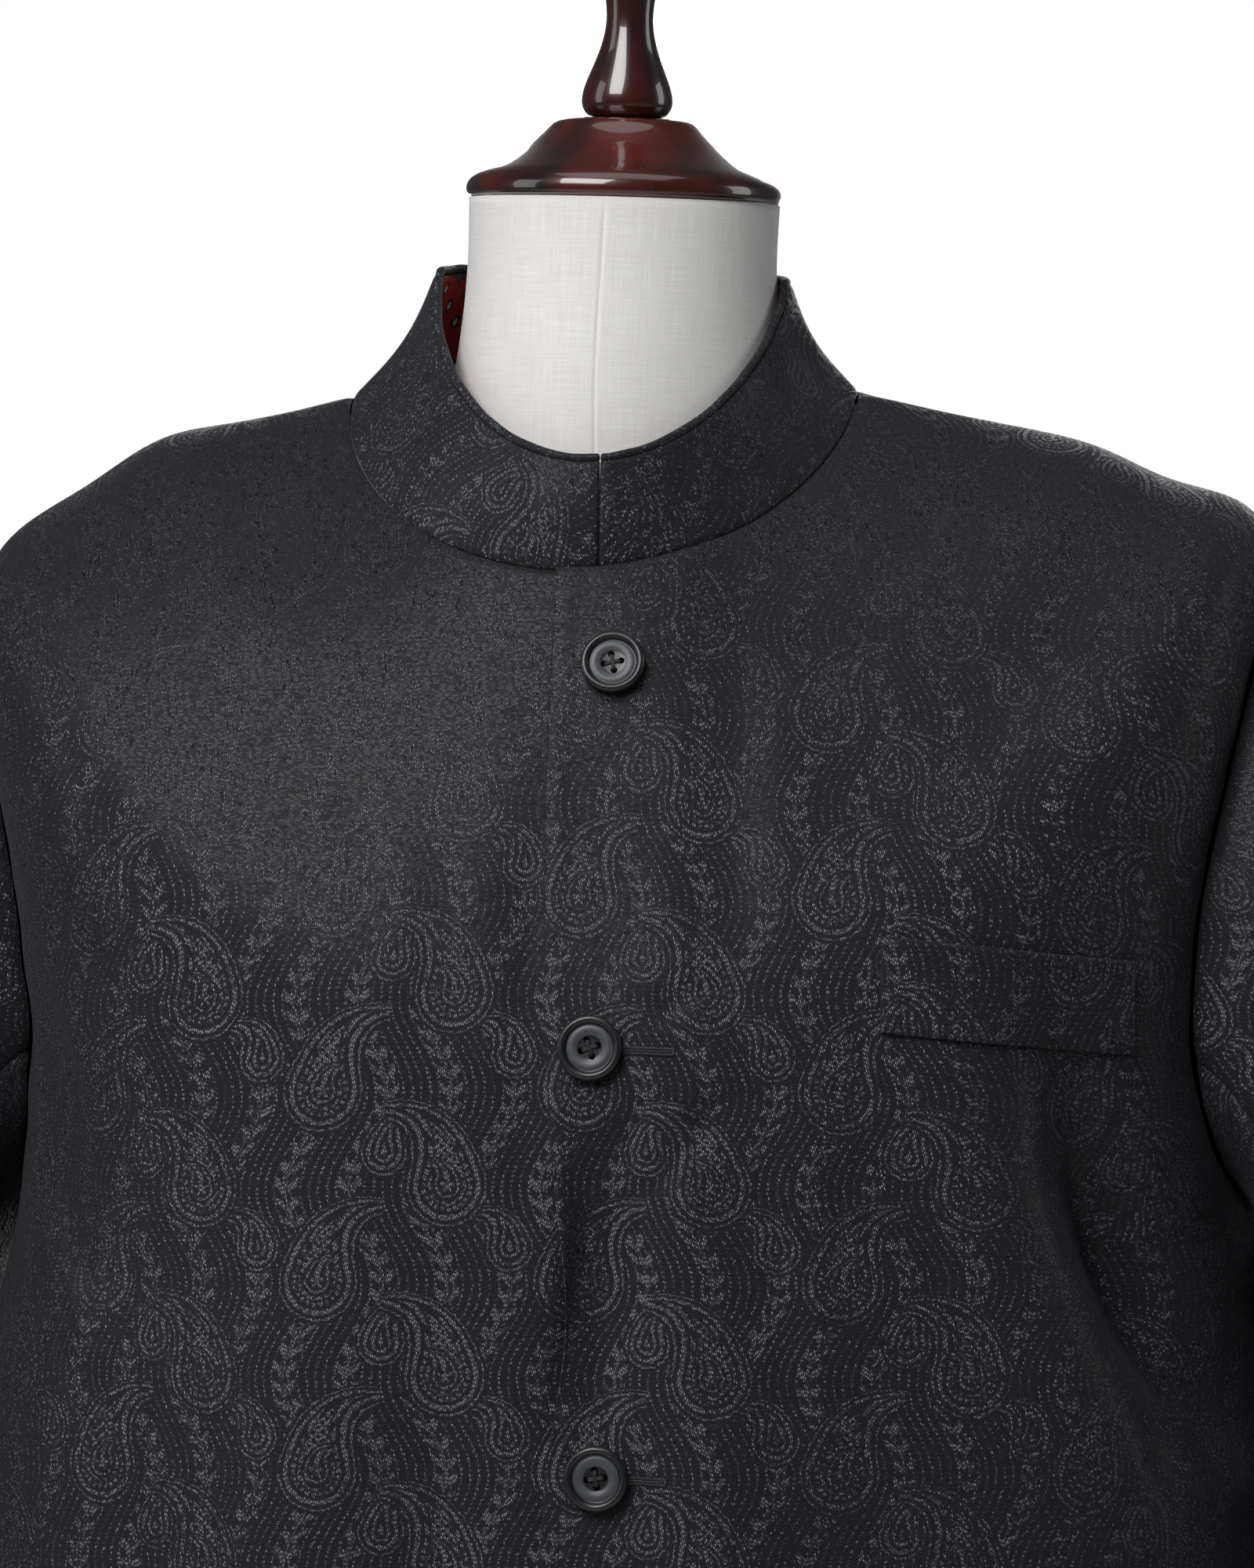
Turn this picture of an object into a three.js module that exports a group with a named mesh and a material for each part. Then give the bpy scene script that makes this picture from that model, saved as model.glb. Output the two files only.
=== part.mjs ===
// A bandhgala jacket, buttoned up on a limbless dress form that stands on a pole and a round base.
// Millimetres, +Z up. The front of the jacket faces -Y and the wearer's left is +X.
// The origin is the centre of the base's underside. Heights in the tables are measured from the
// shoulder point, where the shoulder seam meets the neckline.

import * as THREE from 'three';

// Driving sizes
const shoulderPointHeight = 1500;
const clothWall = 1.6;
const seamGap = 0.3;
const sleeveWall = 1.5;
const collarWall = 2;
const facingWall = 1;
const pipingDiameter = 3.4;
const seamTurn = THREE.MathUtils.degToRad(7);

// A table of rows with named columns
function tableOf(columns, rows) {
  return rows.map((row) => Object.fromEntries(row.map((value, i) => [columns[i], value])));
}

// The body of the jacket as rings that spread from the neck seam over the shoulders to the hem.
// at: place of the ring along the cloth. side, front, back: reach from the middle of the ring.
// sideZ, frontZ, backZ: heights there. square: 2 is an ellipse, more is squarer.
// swell: how late the ring leaves the height of its side. midX: shift of its middle.
// droop: how much lower the wearer's right side hangs.
const bodyRings = tableOf([
  'at', 'side', 'sideZ', 'front', 'frontZ', 'back', 'backZ', 'square', 'swell', 'midX', 'droop',
], [
  [0, 97, 1, 95, -68.5, 74, 12, 2, 1.1, -7.8, 0],
  [55, 150, -12, 113, -118, 92, -30, 2.15, 1.4, -2, -3],
  [88, 181, -20.5, 122, -149, 103, -60, 2.25, 1.6, 0, -4.5],
  [115, 206, -32, 128, -174, 112, -90, 2.3, 1.7, 0, 0],
  [160, 241, -49, 137, -215, 122, -140, 2.4, 2, 0, 12],
  [235, 233, -170, 143, -268, 130, -212, 2.5, 2, 0, 6],
  [310, 229, -303, 145, -338, 131, -312, 2.5, 2, 0, 0],
  [355, 240, -350, 146, -380, 130, -357, 2.5, 2, 0, 0],
  [440, 247, -440, 146, -455, 127, -443, 2.45, 2, 0, 0],
  [600, 254, -600, 150, -606, 134, -602, 2.4, 2, 0, 0],
  [740, 262, -740, 155, -740, 139, -740, 2.35, 2, 0, 0],
]);
const shoulderTipAt = 160;
const armpitAt = 310;
const hemAt = 740;

// How far round the body the armhole reaches from the side seam, forwards and backwards
const armholeForward = { left: THREE.MathUtils.degToRad(27.5), right: THREE.MathUtils.degToRad(21) };
const armholeBackward = THREE.MathUtils.degToRad(24);
const armholeSkew = 1.4;

// The dress form as rings from the seat of the neck cap to the flat underside.
const formRings = tableOf([
  'at', 'side', 'sideZ', 'front', 'frontZ', 'back', 'backZ', 'square', 'swell', 'midX', 'droop',
], [
  [0, 59, 74, 59, 74, 59, 74, 2, 1, 0, 0],
  [30, 58.8, 45, 68, 36, 58, 46, 2, 1, -1, 0],
  [60, 62, 17, 79, -6, 61, 28, 2, 1, -1.5, 0],
  [85, 70, 4, 83, -45, 66, 12, 2, 1, -1, 0],
  [105, 88, -3, 86, -68, 71, 0, 2, 1, -2, 0],
  [125, 114, -8, 94, -98, 78, -18, 2.05, 1.1, -2, 0],
  [155, 150, -15.3, 104, -132, 86, -42, 2.15, 1.3, -2, 0],
  [195, 184, -27.8, 114, -172, 98, -84, 2.3, 1.6, 0, -3.2],
  [225, 196, -52, 119, -205, 104, -125, 2.4, 2, 0, 4],
  [300, 192, -170, 124, -265, 108, -205, 2.4, 2, 0, 0],
  [375, 188, -300, 124, -330, 108, -306, 2.35, 2, 0, 0],
  [520, 170, -445, 110, -450, 94, -445, 2.25, 2, 0, 0],
  [680, 184, -610, 116, -610, 106, -610, 2.25, 2, 0, 0],
  [830, 190, -772, 120, -772, 110, -772, 2.25, 2, 0, 0],
]);
const capRoll = THREE.MathUtils.degToRad(2.1);
const capLean = THREE.MathUtils.degToRad(3);

// The sleeve below its cap, as level rings for the wearer's left. wide is across, deep is front to back.
// Here at is the depth below the shoulder point.
const sleeveRings = [
  { at: 335, midX: 291, midY: 2, wide: 49, deep: 77 },
  { at: 400, midX: 298, midY: 1, wide: 45, deep: 74 },
  { at: 490, midX: 302, midY: -6, wide: 41, deep: 69 },
  { at: 590, midX: 303, midY: -20, wide: 35, deep: 64 },
  { at: 685, midX: 303, midY: -38, wide: 30, deep: 61 },
];
const sleeveSquare = 2.15;

// How the cap of the sleeve leaves the armhole: its gap there, and how far it holds its first
// direction at the top, the middle and the bottom of the armhole
const armholeGap = 0.45;
const topReach = 40;
const middleReach = 10;
const lowReach = 9;

// The leading edge of the left front, which laps over the right front: its X at heights down the front
const leadingEdge = [
  { at: -740, x: -13 },
  { at: -440, x: -13 },
  { at: -385, x: -9 },
  { at: -340, x: -3 },
  { at: -290, x: -7 },
  { at: -240, x: -11 },
  { at: -70, x: -13 },
];
const underlapX = 27;
const overlapBlend = 30;
const overlapStep = clothWall + 1.2;
const underlapSink = 1.2;
const underlapBlend = 35;

// The largest folds, each along a bent line on the front or back, seen square on.
// lift: out of the cloth, or into it where negative. width: from its middle to where it has faded.
// open: the fold runs on to the hem. only: the panel that has it, where its neighbour does not.
// peak: where along it the fold is deepest, where that is not halfway.
const folds = tableOf([
  'face', 'fromX', 'fromZ', 'bendX', 'bendZ', 'toX', 'toZ', 'lift', 'width', 'peak', 'open', 'only',
], [
  ['front', 166, -190, 166, -290, 248, -400, -15, 21, 0.64],
  ['front', 128, -210, 140, -330, 214, -440, 6, 24],
  ['front', 204, -240, 214, -300, 246, -350, 5, 15],
  ['front', 20, -258, 10, -335, -6, -398, -5, 18],
  ['front', -16, -250, -2, -335, -14, -392, 8, 17, null, null, 'front_left'],
  ['front', 44, -200, 50, -400, 60, -740, 7, 30, null, true],
  ['front', 105, -330, 108, -500, 118, -740, -7, 30, null, true],
  ['front', 190, -430, 186, -560, 184, -740, 8, 32, null, true],
  ['front', -98, -190, -104, -420, -118, -740, 7, 34, null, true],
  ['front', -46, -250, -52, -430, -62, -740, -5, 24, null, true],
  ['front', -160, -300, -172, -480, -180, -740, -8, 30, null, true],
  ['front', -224, -215, -206, -262, -182, -330, -5, 14],
  ['back', 150, -170, 160, -300, 236, -420, -11, 22],
  ['back', -140, -190, -160, -310, -232, -400, -9, 24],
  ['back', 70, -330, 78, -500, 92, -740, 8, 34, null, true],
  ['back', -84, -380, -88, -520, -96, -740, 7, 32, null, true],
  ['back', 150, -420, 154, -560, 160, -740, -7, 28, null, true],
  ['back', -160, -440, -164, -580, -168, -740, -6, 30, null, true],
]);

// The standing collar: its top edge, and the middle of the front where its two ends meet
const collarTop = {
  side: 68, sideZ: 44.5, front: 92, frontZ: -29, back: 69, backZ: 53, swell: 1.05, midX: -4.6, roll: 3,
};
const collarOpeningX = 2;
const collarOpeningHalf = 1.4;
const collarBelly = { front: 1.5, side: -4 };

// The welt of the chest pocket on the left front: X of its ends, height of its lower edge there
const chestWelt = { fromX: 108.5, fromZ: -236, toX: 197, toZ: -245.5, height: 34.5, wall: 1.6 };
const weltClearance = 1.1;

// Buttons down the left front
const buttonPlaces = [
  { x: 9.5, z: -105 },
  { x: 5.5, z: -242 },
  { x: 8.3, z: -395 },
  { x: 8.3, z: -548 },
];
const buttonDiameter = 23.5;
const buttonThickness = 4.2;
const buttonClearance = 0.8;

// Cap, finial, pole and base of the form: profiles of radius and height
const capProfile = [
  { radius: 59.5, height: 0 },
  { radius: 60.5, height: 3 },
  { radius: 58.5, height: 7.5 },
  { radius: 52, height: 12 },
  { radius: 43, height: 17 },
  { radius: 34, height: 23.5 },
  { radius: 29, height: 28 },
  { radius: 25.5, height: 30.5 },
];
const finialProfile = [
  { radius: 13.5, height: 0 },
  { radius: 17.4, height: 5 },
  { radius: 16.2, height: 13 },
  { radius: 11.5, height: 25 },
  { radius: 9, height: 38 },
  { radius: 10.5, height: 50 },
  { radius: 14.5, height: 60 },
  { radius: 14.5, height: 68 },
  { radius: 8, height: 76 },
];
const poleRadius = 16;
const baseProfile = [
  { radius: 195, height: 0 },
  { radius: 195, height: 7 },
  { radius: 188, height: 12 },
  { radius: 90, height: 18 },
  { radius: 34, height: 24 },
  { radius: 26, height: 34 },
];

// Cells along and across the pieces
const yokeRows = 5;
const armholeRows = 12;
const skirtRows = 16;
const frontColumns = 15;
const backColumns = 11;
const sleeveCapRows = 6;
const sleeveLowerRows = 8;
const collarColumns = 30;
const formColumns = 28;
const formNeckRows = 11;
const formTorsoRows = 8;
const formShoulderAt = 225;
const columnGiving = 2.6;

// Colours
const clothColour = 0x24242a;
const facingColour = 0x7c1f22;
const buttonColour = 0x2b2c30;
const linenColour = 0xd9d2c6;
const woodColour = 0x5a2416;
const metalColour = 0x9a9a9c;

const clothFinish = { color: clothColour, roughness: 0.8, metalness: 0 };
const facingFinish = { color: facingColour, roughness: 0.7, metalness: 0 };
const buttonFinish = { color: buttonColour, roughness: 0.35, metalness: 0 };
const linenFinish = { color: linenColour, roughness: 0.9, metalness: 0 };
const woodFinish = { color: woodColour, roughness: 0.3, metalness: 0 };
const metalFinish = { color: metalColour, roughness: 0.35, metalness: 0.8 };

// Bends of a smooth curve through one column of a table: its second derivative at each row
function columnBends(table, column) {
  const last = table.length - 1;
  const bends = new Array(last + 1).fill(0);
  const carried = new Array(last + 1).fill(0);
  for (let i = 1; i < last; i += 1) {
    const before = table[i].at - table[i - 1].at;
    const after = table[i + 1].at - table[i].at;
    const slopeBefore = (table[i][column] - table[i - 1][column]) / before;
    const slopeAfter = (table[i + 1][column] - table[i][column]) / after;
    const pivot = 2 * (before + after) - before * carried[i - 1];
    carried[i] = after / pivot;
    bends[i] = (6 * (slopeAfter - slopeBefore) - before * bends[i - 1]) / pivot;
  }
  for (let i = last - 1; i > 0; i -= 1) bends[i] -= carried[i] * bends[i + 1];
  return bends;
}

// Smooth reading of one column of a table between its rows
const knownBends = new Map();
function columnAt(table, place, column) {
  if (!knownBends.has(table)) knownBends.set(table, {});
  const known = knownBends.get(table);
  known[column] ??= columnBends(table, column);
  const last = table.length - 1;
  const held = THREE.MathUtils.clamp(place, table[0].at, table[last].at);
  let row = 0;
  while (row < last - 1 && held > table[row + 1].at) row += 1;
  const span = table[row + 1].at - table[row].at;
  const high = (held - table[row].at) / span;
  const low = 1 - high;
  const pull = (low ** 3 - low) * known[column][row] + (high ** 3 - high) * known[column][row + 1];
  return low * table[row][column] + high * table[row + 1][column] + (pull * span ** 2) / 6;
}

function signedPower(value, power) {
  return Math.sign(value) * Math.abs(value) ** power;
}

// A point of a ringed surface. turn is 0 at the wearer's left side, -90 degrees at the front.
function ringPoint(rings, at, turn) {
  const read = (column) => columnAt(rings, at, column);
  const across = Math.cos(turn);
  const along = Math.sin(turn);
  const square = read('square');
  const side = read('sideZ');
  const middle = along < 0 ? read('frontZ') : read('backZ');
  const reach = along < 0 ? read('front') : read('back');
  const fall = (side - middle) * Math.abs(along) ** read('swell');
  const rightSide = Math.max(0, -across) ** 2;
  return new THREE.Vector3(
    read('midX') + read('side') * signedPower(across, 2 / square),
    reach * signedPower(along, 2 / square),
    shoulderPointHeight + side - fall - read('droop') * rightSide,
  );
}

function ringNormal(rings, at, turn) {
  const alongStep = 1.5;
  const turnStep = 0.02;
  const down = ringPoint(rings, at + alongStep, turn).sub(ringPoint(rings, at - alongStep, turn));
  const round = ringPoint(rings, at, turn + turnStep).sub(ringPoint(rings, at, turn - turnStep));
  return down.cross(round).normalize();
}

// The turn at which a ring of the jacket's front passes a given X
function frontTurn(at, x) {
  const share = (x - columnAt(bodyRings, at, 'midX')) / columnAt(bodyRings, at, 'side');
  const across = signedPower(THREE.MathUtils.clamp(share, -1, 1), columnAt(bodyRings, at, 'square') / 2);
  return -Math.acos(across);
}

// The place along the cloth at which the front passes a given X and height
function frontPlace(x, z) {
  let low = 0;
  let high = hemAt;
  for (let step = 0; step < 30; step += 1) {
    const at = (low + high) / 2;
    const height = ringPoint(bodyRings, at, frontTurn(at, x)).z - shoulderPointHeight;
    if (height > z) low = at;
    else high = at;
  }
  return (low + high) / 2;
}

function leadingX(z) {
  return columnAt(leadingEdge, z, 'x');
}

// Height that one fold adds at a place seen square on
function foldLift(fold, x, z) {
  const pieces = 10;
  let nearest = Infinity;
  let share = 0;
  let beforeX = fold.fromX;
  let beforeZ = fold.fromZ;
  for (let i = 1; i <= pieces; i += 1) {
    const s = i / pieces;
    const nextX = fold.fromX * (1 - s) ** 2 + fold.bendX * 2 * s * (1 - s) + fold.toX * s ** 2;
    const nextZ = fold.fromZ * (1 - s) ** 2 + fold.bendZ * 2 * s * (1 - s) + fold.toZ * s ** 2;
    const runX = nextX - beforeX;
    const runZ = nextZ - beforeZ;
    const raw = ((x - beforeX) * runX + (z - beforeZ) * runZ) / (runX ** 2 + runZ ** 2);
    const along = THREE.MathUtils.clamp(raw, 0, 1);
    const distance = Math.hypot(x - beforeX - runX * along, z - beforeZ - runZ * along);
    if (distance < nearest) {
      nearest = distance;
      share = (i - 1 + along) / pieces;
    }
    beforeX = nextX;
    beforeZ = nextZ;
  }
  const peak = fold.peak ?? 0.5;
  const rise = fold.open ? Math.min(share * 1.4, 1) / 2 : share ** (Math.log(0.5) / Math.log(peak));
  const taper = Math.sin(rise * Math.PI) ** 1.2;
  return fold.lift * taper * Math.exp(-((nearest / (fold.width * 0.75)) ** 2));
}

// All that moves a point of a panel out of the plain ringed surface
function clothLift(panel, x, z, faceName) {
  let lift = 0;
  for (const fold of folds) {
    if (fold.face !== faceName) continue;
    if (fold.only && fold.only !== panel) continue;
    lift += foldLift(fold, x, z);
  }
  if (panel === 'front_left') {
    const over = 1 - THREE.MathUtils.smoothstep(x, underlapX + 3, underlapX + overlapBlend);
    lift += overlapStep * over;
  }
  if (panel === 'front_right') {
    const sinkStart = underlapX - 2 * underlapBlend;
    lift -= underlapSink * THREE.MathUtils.smoothstep(x, sinkStart, sinkStart + underlapBlend);
  }
  return lift;
}

// A point on a panel's outer side, and its inner side at the wall's depth
function panelPoint(panel, at, turn, depth) {
  const point = ringPoint(bodyRings, at, turn);
  const faceName = Math.sin(turn) < 0 ? 'front' : 'back';
  const lift = clothLift(panel, point.x, point.z - shoulderPointHeight, faceName);
  const sideFade = THREE.MathUtils.smoothstep(Math.abs(Math.sin(turn)), 0.02, 0.3);
  const settled = panel === 'front_left' && point.x < underlapX + overlapBlend ? lift : lift * sideFade;
  return point.addScaledVector(ringNormal(bodyRings, at, turn), settled - depth);
}

// Turns along one row of a panel, spaced evenly on the cloth from its middle edge. Only the outer
// columns give way where the armhole cuts in from the seam. Half a seam gap is left at each seam.
function rowTurns(at, middleTurn, fullTurn, cutTurn, columns, trimMiddle) {
  const fine = 160;
  const turnAt = (i) => middleTurn + ((fullTurn - middleTurn) * i) / fine;
  const lengths = [0];
  let before = ringPoint(bodyRings, at, middleTurn);
  for (let i = 1; i <= fine; i += 1) {
    const next = ringPoint(bodyRings, at, turnAt(i));
    lengths.push(lengths[i - 1] + next.distanceTo(before));
    before = next;
  }
  const cutPlace = (fine * (cutTurn - middleTurn)) / (fullTurn - middleTurn);
  const cutFloor = Math.min(Math.floor(cutPlace), fine - 1);
  const cutWithin = lengths[cutFloor + 1] - lengths[cutFloor];
  const cutLength = lengths[cutFloor] + cutWithin * (cutPlace - cutFloor) - seamGap / 2;
  const turns = [];
  for (let column = 0; column <= columns; column += 1) {
    const share = column / columns;
    const even = trimMiddle + (lengths[fine] - trimMiddle) * share;
    const wanted = even - (lengths[fine] - cutLength) * share ** columnGiving;
    let i = 1;
    while (i < fine && lengths[i] < wanted) i += 1;
    turns.push(turnAt(i - 1 + (wanted - lengths[i - 1]) / (lengths[i] - lengths[i - 1])));
  }
  return turns;
}

// Rows of the jacket's body, closer together where the armhole turns fastest
function armholeRowAt(i) {
  const share = (1 - Math.cos((Math.PI * i) / armholeRows)) / 2;
  return shoulderTipAt + (armpitAt - shoulderTipAt) * share;
}
const bodyRows = [];
for (let i = 0; i < yokeRows; i += 1) {
  bodyRows.push(i === 0 ? seamGap / 2 : (shoulderTipAt * i) / yokeRows);
}
for (let i = 0; i <= armholeRows; i += 1) bodyRows.push(armholeRowAt(i));
for (let i = 1; i <= skirtRows; i += 1) {
  bodyRows.push(armpitAt + ((hemAt - armpitAt) * i) / skirtRows);
}

// How far the armhole has opened at a place along the cloth, from 0 to 1 and back to 0.
// Its front is cut deepest low down.
function armholeOpen(at, isFront) {
  if (at <= shoulderTipAt || at >= armpitAt) return 0;
  const share = ((at - shoulderTipAt) / (armpitAt - shoulderTipAt)) ** (isFront ? armholeSkew : 1);
  return Math.sqrt(1 - (2 * share - 1) ** 2);
}

// The outer boundary of a quarter of the body: shoulder seam, armhole, then side seam.
// The wearer's right is the mirrored turn.
function outerTurn(at, isFront, isLeft, open = armholeOpen(at, isFront)) {
  const forward = isLeft ? armholeForward.left : armholeForward.right;
  const reach = isFront ? -forward : armholeBackward;
  const turn = seamTurn + reach * open;
  if (isLeft) return turn;
  return isFront ? -Math.PI - turn : Math.PI - turn;
}

// A closed solid from an outer and an inner grid of points that match
function wallGeometry(outer, inner, wraps) {
  const rows = outer.length;
  const columns = outer[0].length;
  const points = [...outer.flat(), ...inner.flat()];
  const innerStart = rows * columns;
  const index = [];
  const quad = (a, b, c, d) => index.push(a, b, c, a, c, d);
  const across = wraps ? columns : columns - 1;
  for (let r = 0; r < rows - 1; r += 1) {
    for (let c = 0; c < across; c += 1) {
      const next = (c + 1) % columns;
      const a = r * columns + c;
      const b = r * columns + next;
      const d = (r + 1) * columns + c;
      const e = (r + 1) * columns + next;
      quad(a, d, e, b);
      quad(innerStart + a, innerStart + b, innerStart + e, innerStart + d);
    }
  }
  for (let c = 0; c < across; c += 1) {
    const next = (c + 1) % columns;
    const low = (rows - 1) * columns;
    quad(c, next, innerStart + next, innerStart + c);
    quad(low + next, low + c, innerStart + low + c, innerStart + low + next);
  }
  if (!wraps) {
    for (let r = 0; r < rows - 1; r += 1) {
      const a = r * columns;
      const b = (r + 1) * columns;
      const end = columns - 1;
      quad(b, a, innerStart + a, innerStart + b);
      quad(a + end, b + end, innerStart + b + end, innerStart + a + end);
    }
  }
  return closedGeometry(points, index);
}

// A closed solid from a stack of rings, with a flat face at each end
function stackGeometry(rings) {
  const columns = rings[0].length;
  const points = rings.flat();
  const index = [];
  for (let r = 0; r < rings.length - 1; r += 1) {
    for (let c = 0; c < columns; c += 1) {
      const next = (c + 1) % columns;
      const a = r * columns + c;
      const b = r * columns + next;
      index.push(a, a + columns, b + columns, a, b + columns, b);
    }
  }
  const low = (rings.length - 1) * columns;
  for (let c = 1; c < columns - 1; c += 1) {
    index.push(0, c, c + 1);
    index.push(low, low + c + 1, low + c);
  }
  return closedGeometry(points, index);
}

// Turns the faces out, by the sign of the volume they enclose
function closedGeometry(points, index) {
  let volume = 0;
  for (let i = 0; i < index.length; i += 3) {
    const a = points[index[i]];
    const b = points[index[i + 1]];
    const c = points[index[i + 2]];
    volume += a.dot(b.clone().cross(c)) / 6;
  }
  if (volume < 0) index.reverse();
  const geometry = new THREE.BufferGeometry();
  const coordinates = points.flatMap((point) => point.toArray());
  geometry.setAttribute('position', new THREE.Float32BufferAttribute(coordinates, 3));
  geometry.setIndex(index);
  geometry.computeVertexNormals();
  return geometry;
}

const jacket = new THREE.Group();

function addPiece(name, geometry, finish, parent = jacket) {
  const mesh = new THREE.Mesh(geometry, new THREE.MeshStandardMaterial(finish));
  mesh.name = name;
  parent.add(mesh);
  return mesh;
}

// Fronts and backs. Each row runs from the middle edge of the panel to its outer boundary.
function bodyPanel(name, isFront, isLeft) {
  const columns = isFront ? frontColumns : backColumns;
  const outer = [];
  const inner = [];
  for (const at of bodyRows) {
    let middleTurn = Math.PI / 2;
    if (isFront) {
      const height = ringPoint(bodyRings, at, -Math.PI / 2).z - shoulderPointHeight;
      middleTurn = frontTurn(at, isLeft ? leadingX(height) : underlapX);
    }
    const trimMiddle = isFront ? 0 : seamGap / 2;
    const fullTurn = outerTurn(at, isFront, isLeft, 0);
    const turns = rowTurns(at, middleTurn, fullTurn, outerTurn(at, isFront, isLeft), columns, trimMiddle);
    outer.push(turns.map((turn) => panelPoint(name, at, turn, 0)));
    inner.push(turns.map((turn) => panelPoint(name, at, turn, clothWall)));
  }
  addPiece(name, wallGeometry(outer, inner, false), clothFinish);
}

bodyPanel('front_left', true, true);
bodyPanel('front_right', true, false);
bodyPanel('back_left', false, true);
bodyPanel('back_right', false, false);

// The loop of the armhole, from the shoulder tip down its front to the armpit and up its back
function armholeLoop(isLeft) {
  const loop = [];
  for (let i = 0; i <= armholeRows; i += 1) {
    const at = armholeRowAt(i);
    loop.push(panelPoint('armhole', at, outerTurn(at, true, isLeft), 0));
  }
  for (let i = armholeRows - 1; i > 0; i -= 1) {
    const at = armholeRowAt(i);
    loop.push(panelPoint('armhole', at, outerTurn(at, false, isLeft), 0));
  }
  return loop;
}

// A level ring of the sleeve. around is 0 at its outer side, 90 degrees at the front, 180 at the body.
function sleeveRingPoint(depth, around, side) {
  const read = (column) => columnAt(sleeveRings, depth, column);
  const across = signedPower(Math.cos(around), 2 / sleeveSquare);
  const along = signedPower(Math.sin(around), 2 / sleeveSquare);
  return new THREE.Vector3(
    side * (read('midX') + read('wide') * across),
    read('midY') - read('deep') * along,
    shoulderPointHeight - depth,
  );
}

// The sleeve's grid: rows from the armhole to the cuff, columns round it as on the armhole
function sleeveGrid(isLeft) {
  const side = isLeft ? 1 : -1;
  const loop = armholeLoop(isLeft);
  const count = loop.length;
  const top = sleeveRings[0].at;
  const rows = [];
  for (let r = 0; r <= sleeveCapRows; r += 1) {
    const s = (r / sleeveCapRows) ** 1.2;
    rows.push(loop.map((seam, i) => {
      const around = (2 * Math.PI * i) / count;
      const outerShare = (1 + Math.cos(around)) / 2;
      const frontShare = Math.sin(around);
      const bicep = sleeveRingPoint(top, around, side);
      const heading = new THREE.Vector3(side * 0.85, -0.5 * frontShare, 0.8 * outerShare - 0.5);
      heading.normalize();
      const start = seam.clone().addScaledVector(heading, armholeGap);
      const reach = lowReach + (topReach - lowReach) * outerShare ** 2 + middleReach * Math.abs(frontShare);
      const leave = start.clone().addScaledVector(heading, reach);
      const arrive = bicep.clone();
      arrive.z += 8 + 125 * outerShare ** 1.5;
      return new THREE.CubicBezierCurve3(start, leave, arrive, bicep).getPoint(s);
    }));
  }
  const cuff = sleeveRings[sleeveRings.length - 1].at;
  for (let r = 1; r <= sleeveLowerRows; r += 1) {
    const depth = top + ((cuff - top) * r) / sleeveLowerRows;
    const row = [];
    for (let i = 0; i < count; i += 1) row.push(sleeveRingPoint(depth, (2 * Math.PI * i) / count, side));
    rows.push(row);
  }
  return rows;
}

// Normals of a grid that closes round, pointing out of the tube
function tubeNormals(grid, side) {
  return grid.map((row, r) => row.map((point, c) => {
    const count = row.length;
    const above = grid[Math.max(r - 1, 0)][c];
    const below = grid[Math.min(r + 1, grid.length - 1)][c];
    const before = row[(c + count - 1) % count];
    const after = row[(c + 1) % count];
    const normal = after.clone().sub(before).cross(below.clone().sub(above));
    return normal.multiplyScalar(side).normalize();
  }));
}

// Each sleeve is cut in two pieces: a top sleeve and an under sleeve
function sleevePieces(name, isLeft) {
  const grid = sleeveGrid(isLeft);
  const normals = tubeNormals(grid, isLeft ? 1 : -1);
  const count = grid[0].length;
  const frontSeam = 8;
  const backSeam = count - 8;
  const cut = (pieceName, first, last) => {
    const outer = [];
    const inner = [];
    for (let r = 0; r < grid.length; r += 1) {
      const outerRow = [];
      const innerRow = [];
      for (let i = first; i <= last; i += 1) {
        const c = (i + count) % count;
        const point = grid[r][c].clone();
        const inward = i === first ? 1 : -1;
        const neighbour = grid[r][(c + inward + count) % count];
        const tuck = neighbour.clone().sub(point).normalize();
        if (i === first || i === last) point.addScaledVector(tuck, seamGap / 2);
        outerRow.push(point);
        innerRow.push(point.clone().addScaledVector(normals[r][c], -sleeveWall));
      }
      outer.push(outerRow);
      inner.push(innerRow);
    }
    addPiece(pieceName, wallGeometry(outer, inner, false), clothFinish);
  };
  cut(`${name}_top`, backSeam - count, frontSeam);
  cut(`${name}_under`, frontSeam, backSeam);
}

sleevePieces('sleeve_left', true);
sleevePieces('sleeve_right', false);

// The collar stands on the neck seam. up runs from 0 at the seam to 1 at the top edge.
function collarPoint(turn, up) {
  const seam = ringPoint(bodyRings, 0, turn);
  const along = Math.sin(turn);
  const middle = along < 0 ? collarTop.frontZ : collarTop.backZ;
  const reach = along < 0 ? collarTop.front : collarTop.back;
  const top = new THREE.Vector3(
    collarTop.midX + collarTop.side * Math.cos(turn),
    reach * along,
    shoulderPointHeight + collarTop.sideZ - (collarTop.sideZ - middle) * Math.abs(along) ** collarTop.swell
      - collarTop.roll * Math.cos(turn),
  );
  const point = seam.lerp(top, up);
  const away = new THREE.Vector3(Math.cos(turn), along, 0.5);
  const belly = collarBelly.front * along ** 2 + collarBelly.side * Math.cos(turn) ** 2;
  return point.addScaledVector(away.normalize(), belly * Math.sin(Math.PI * up));
}

function collarNormal(turn, up) {
  const small = 0.02;
  const rise = collarPoint(turn, up + small).sub(collarPoint(turn, up - small));
  const round = collarPoint(turn + small, up).sub(collarPoint(turn - small, up));
  return round.cross(rise).normalize();
}

const neckRing = bodyRings[0];
const openingTurn = -Math.PI / 2 + (collarOpeningX - neckRing.midX) / neckRing.side;
const openingHalfTurn = collarOpeningHalf / neckRing.side;

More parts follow.
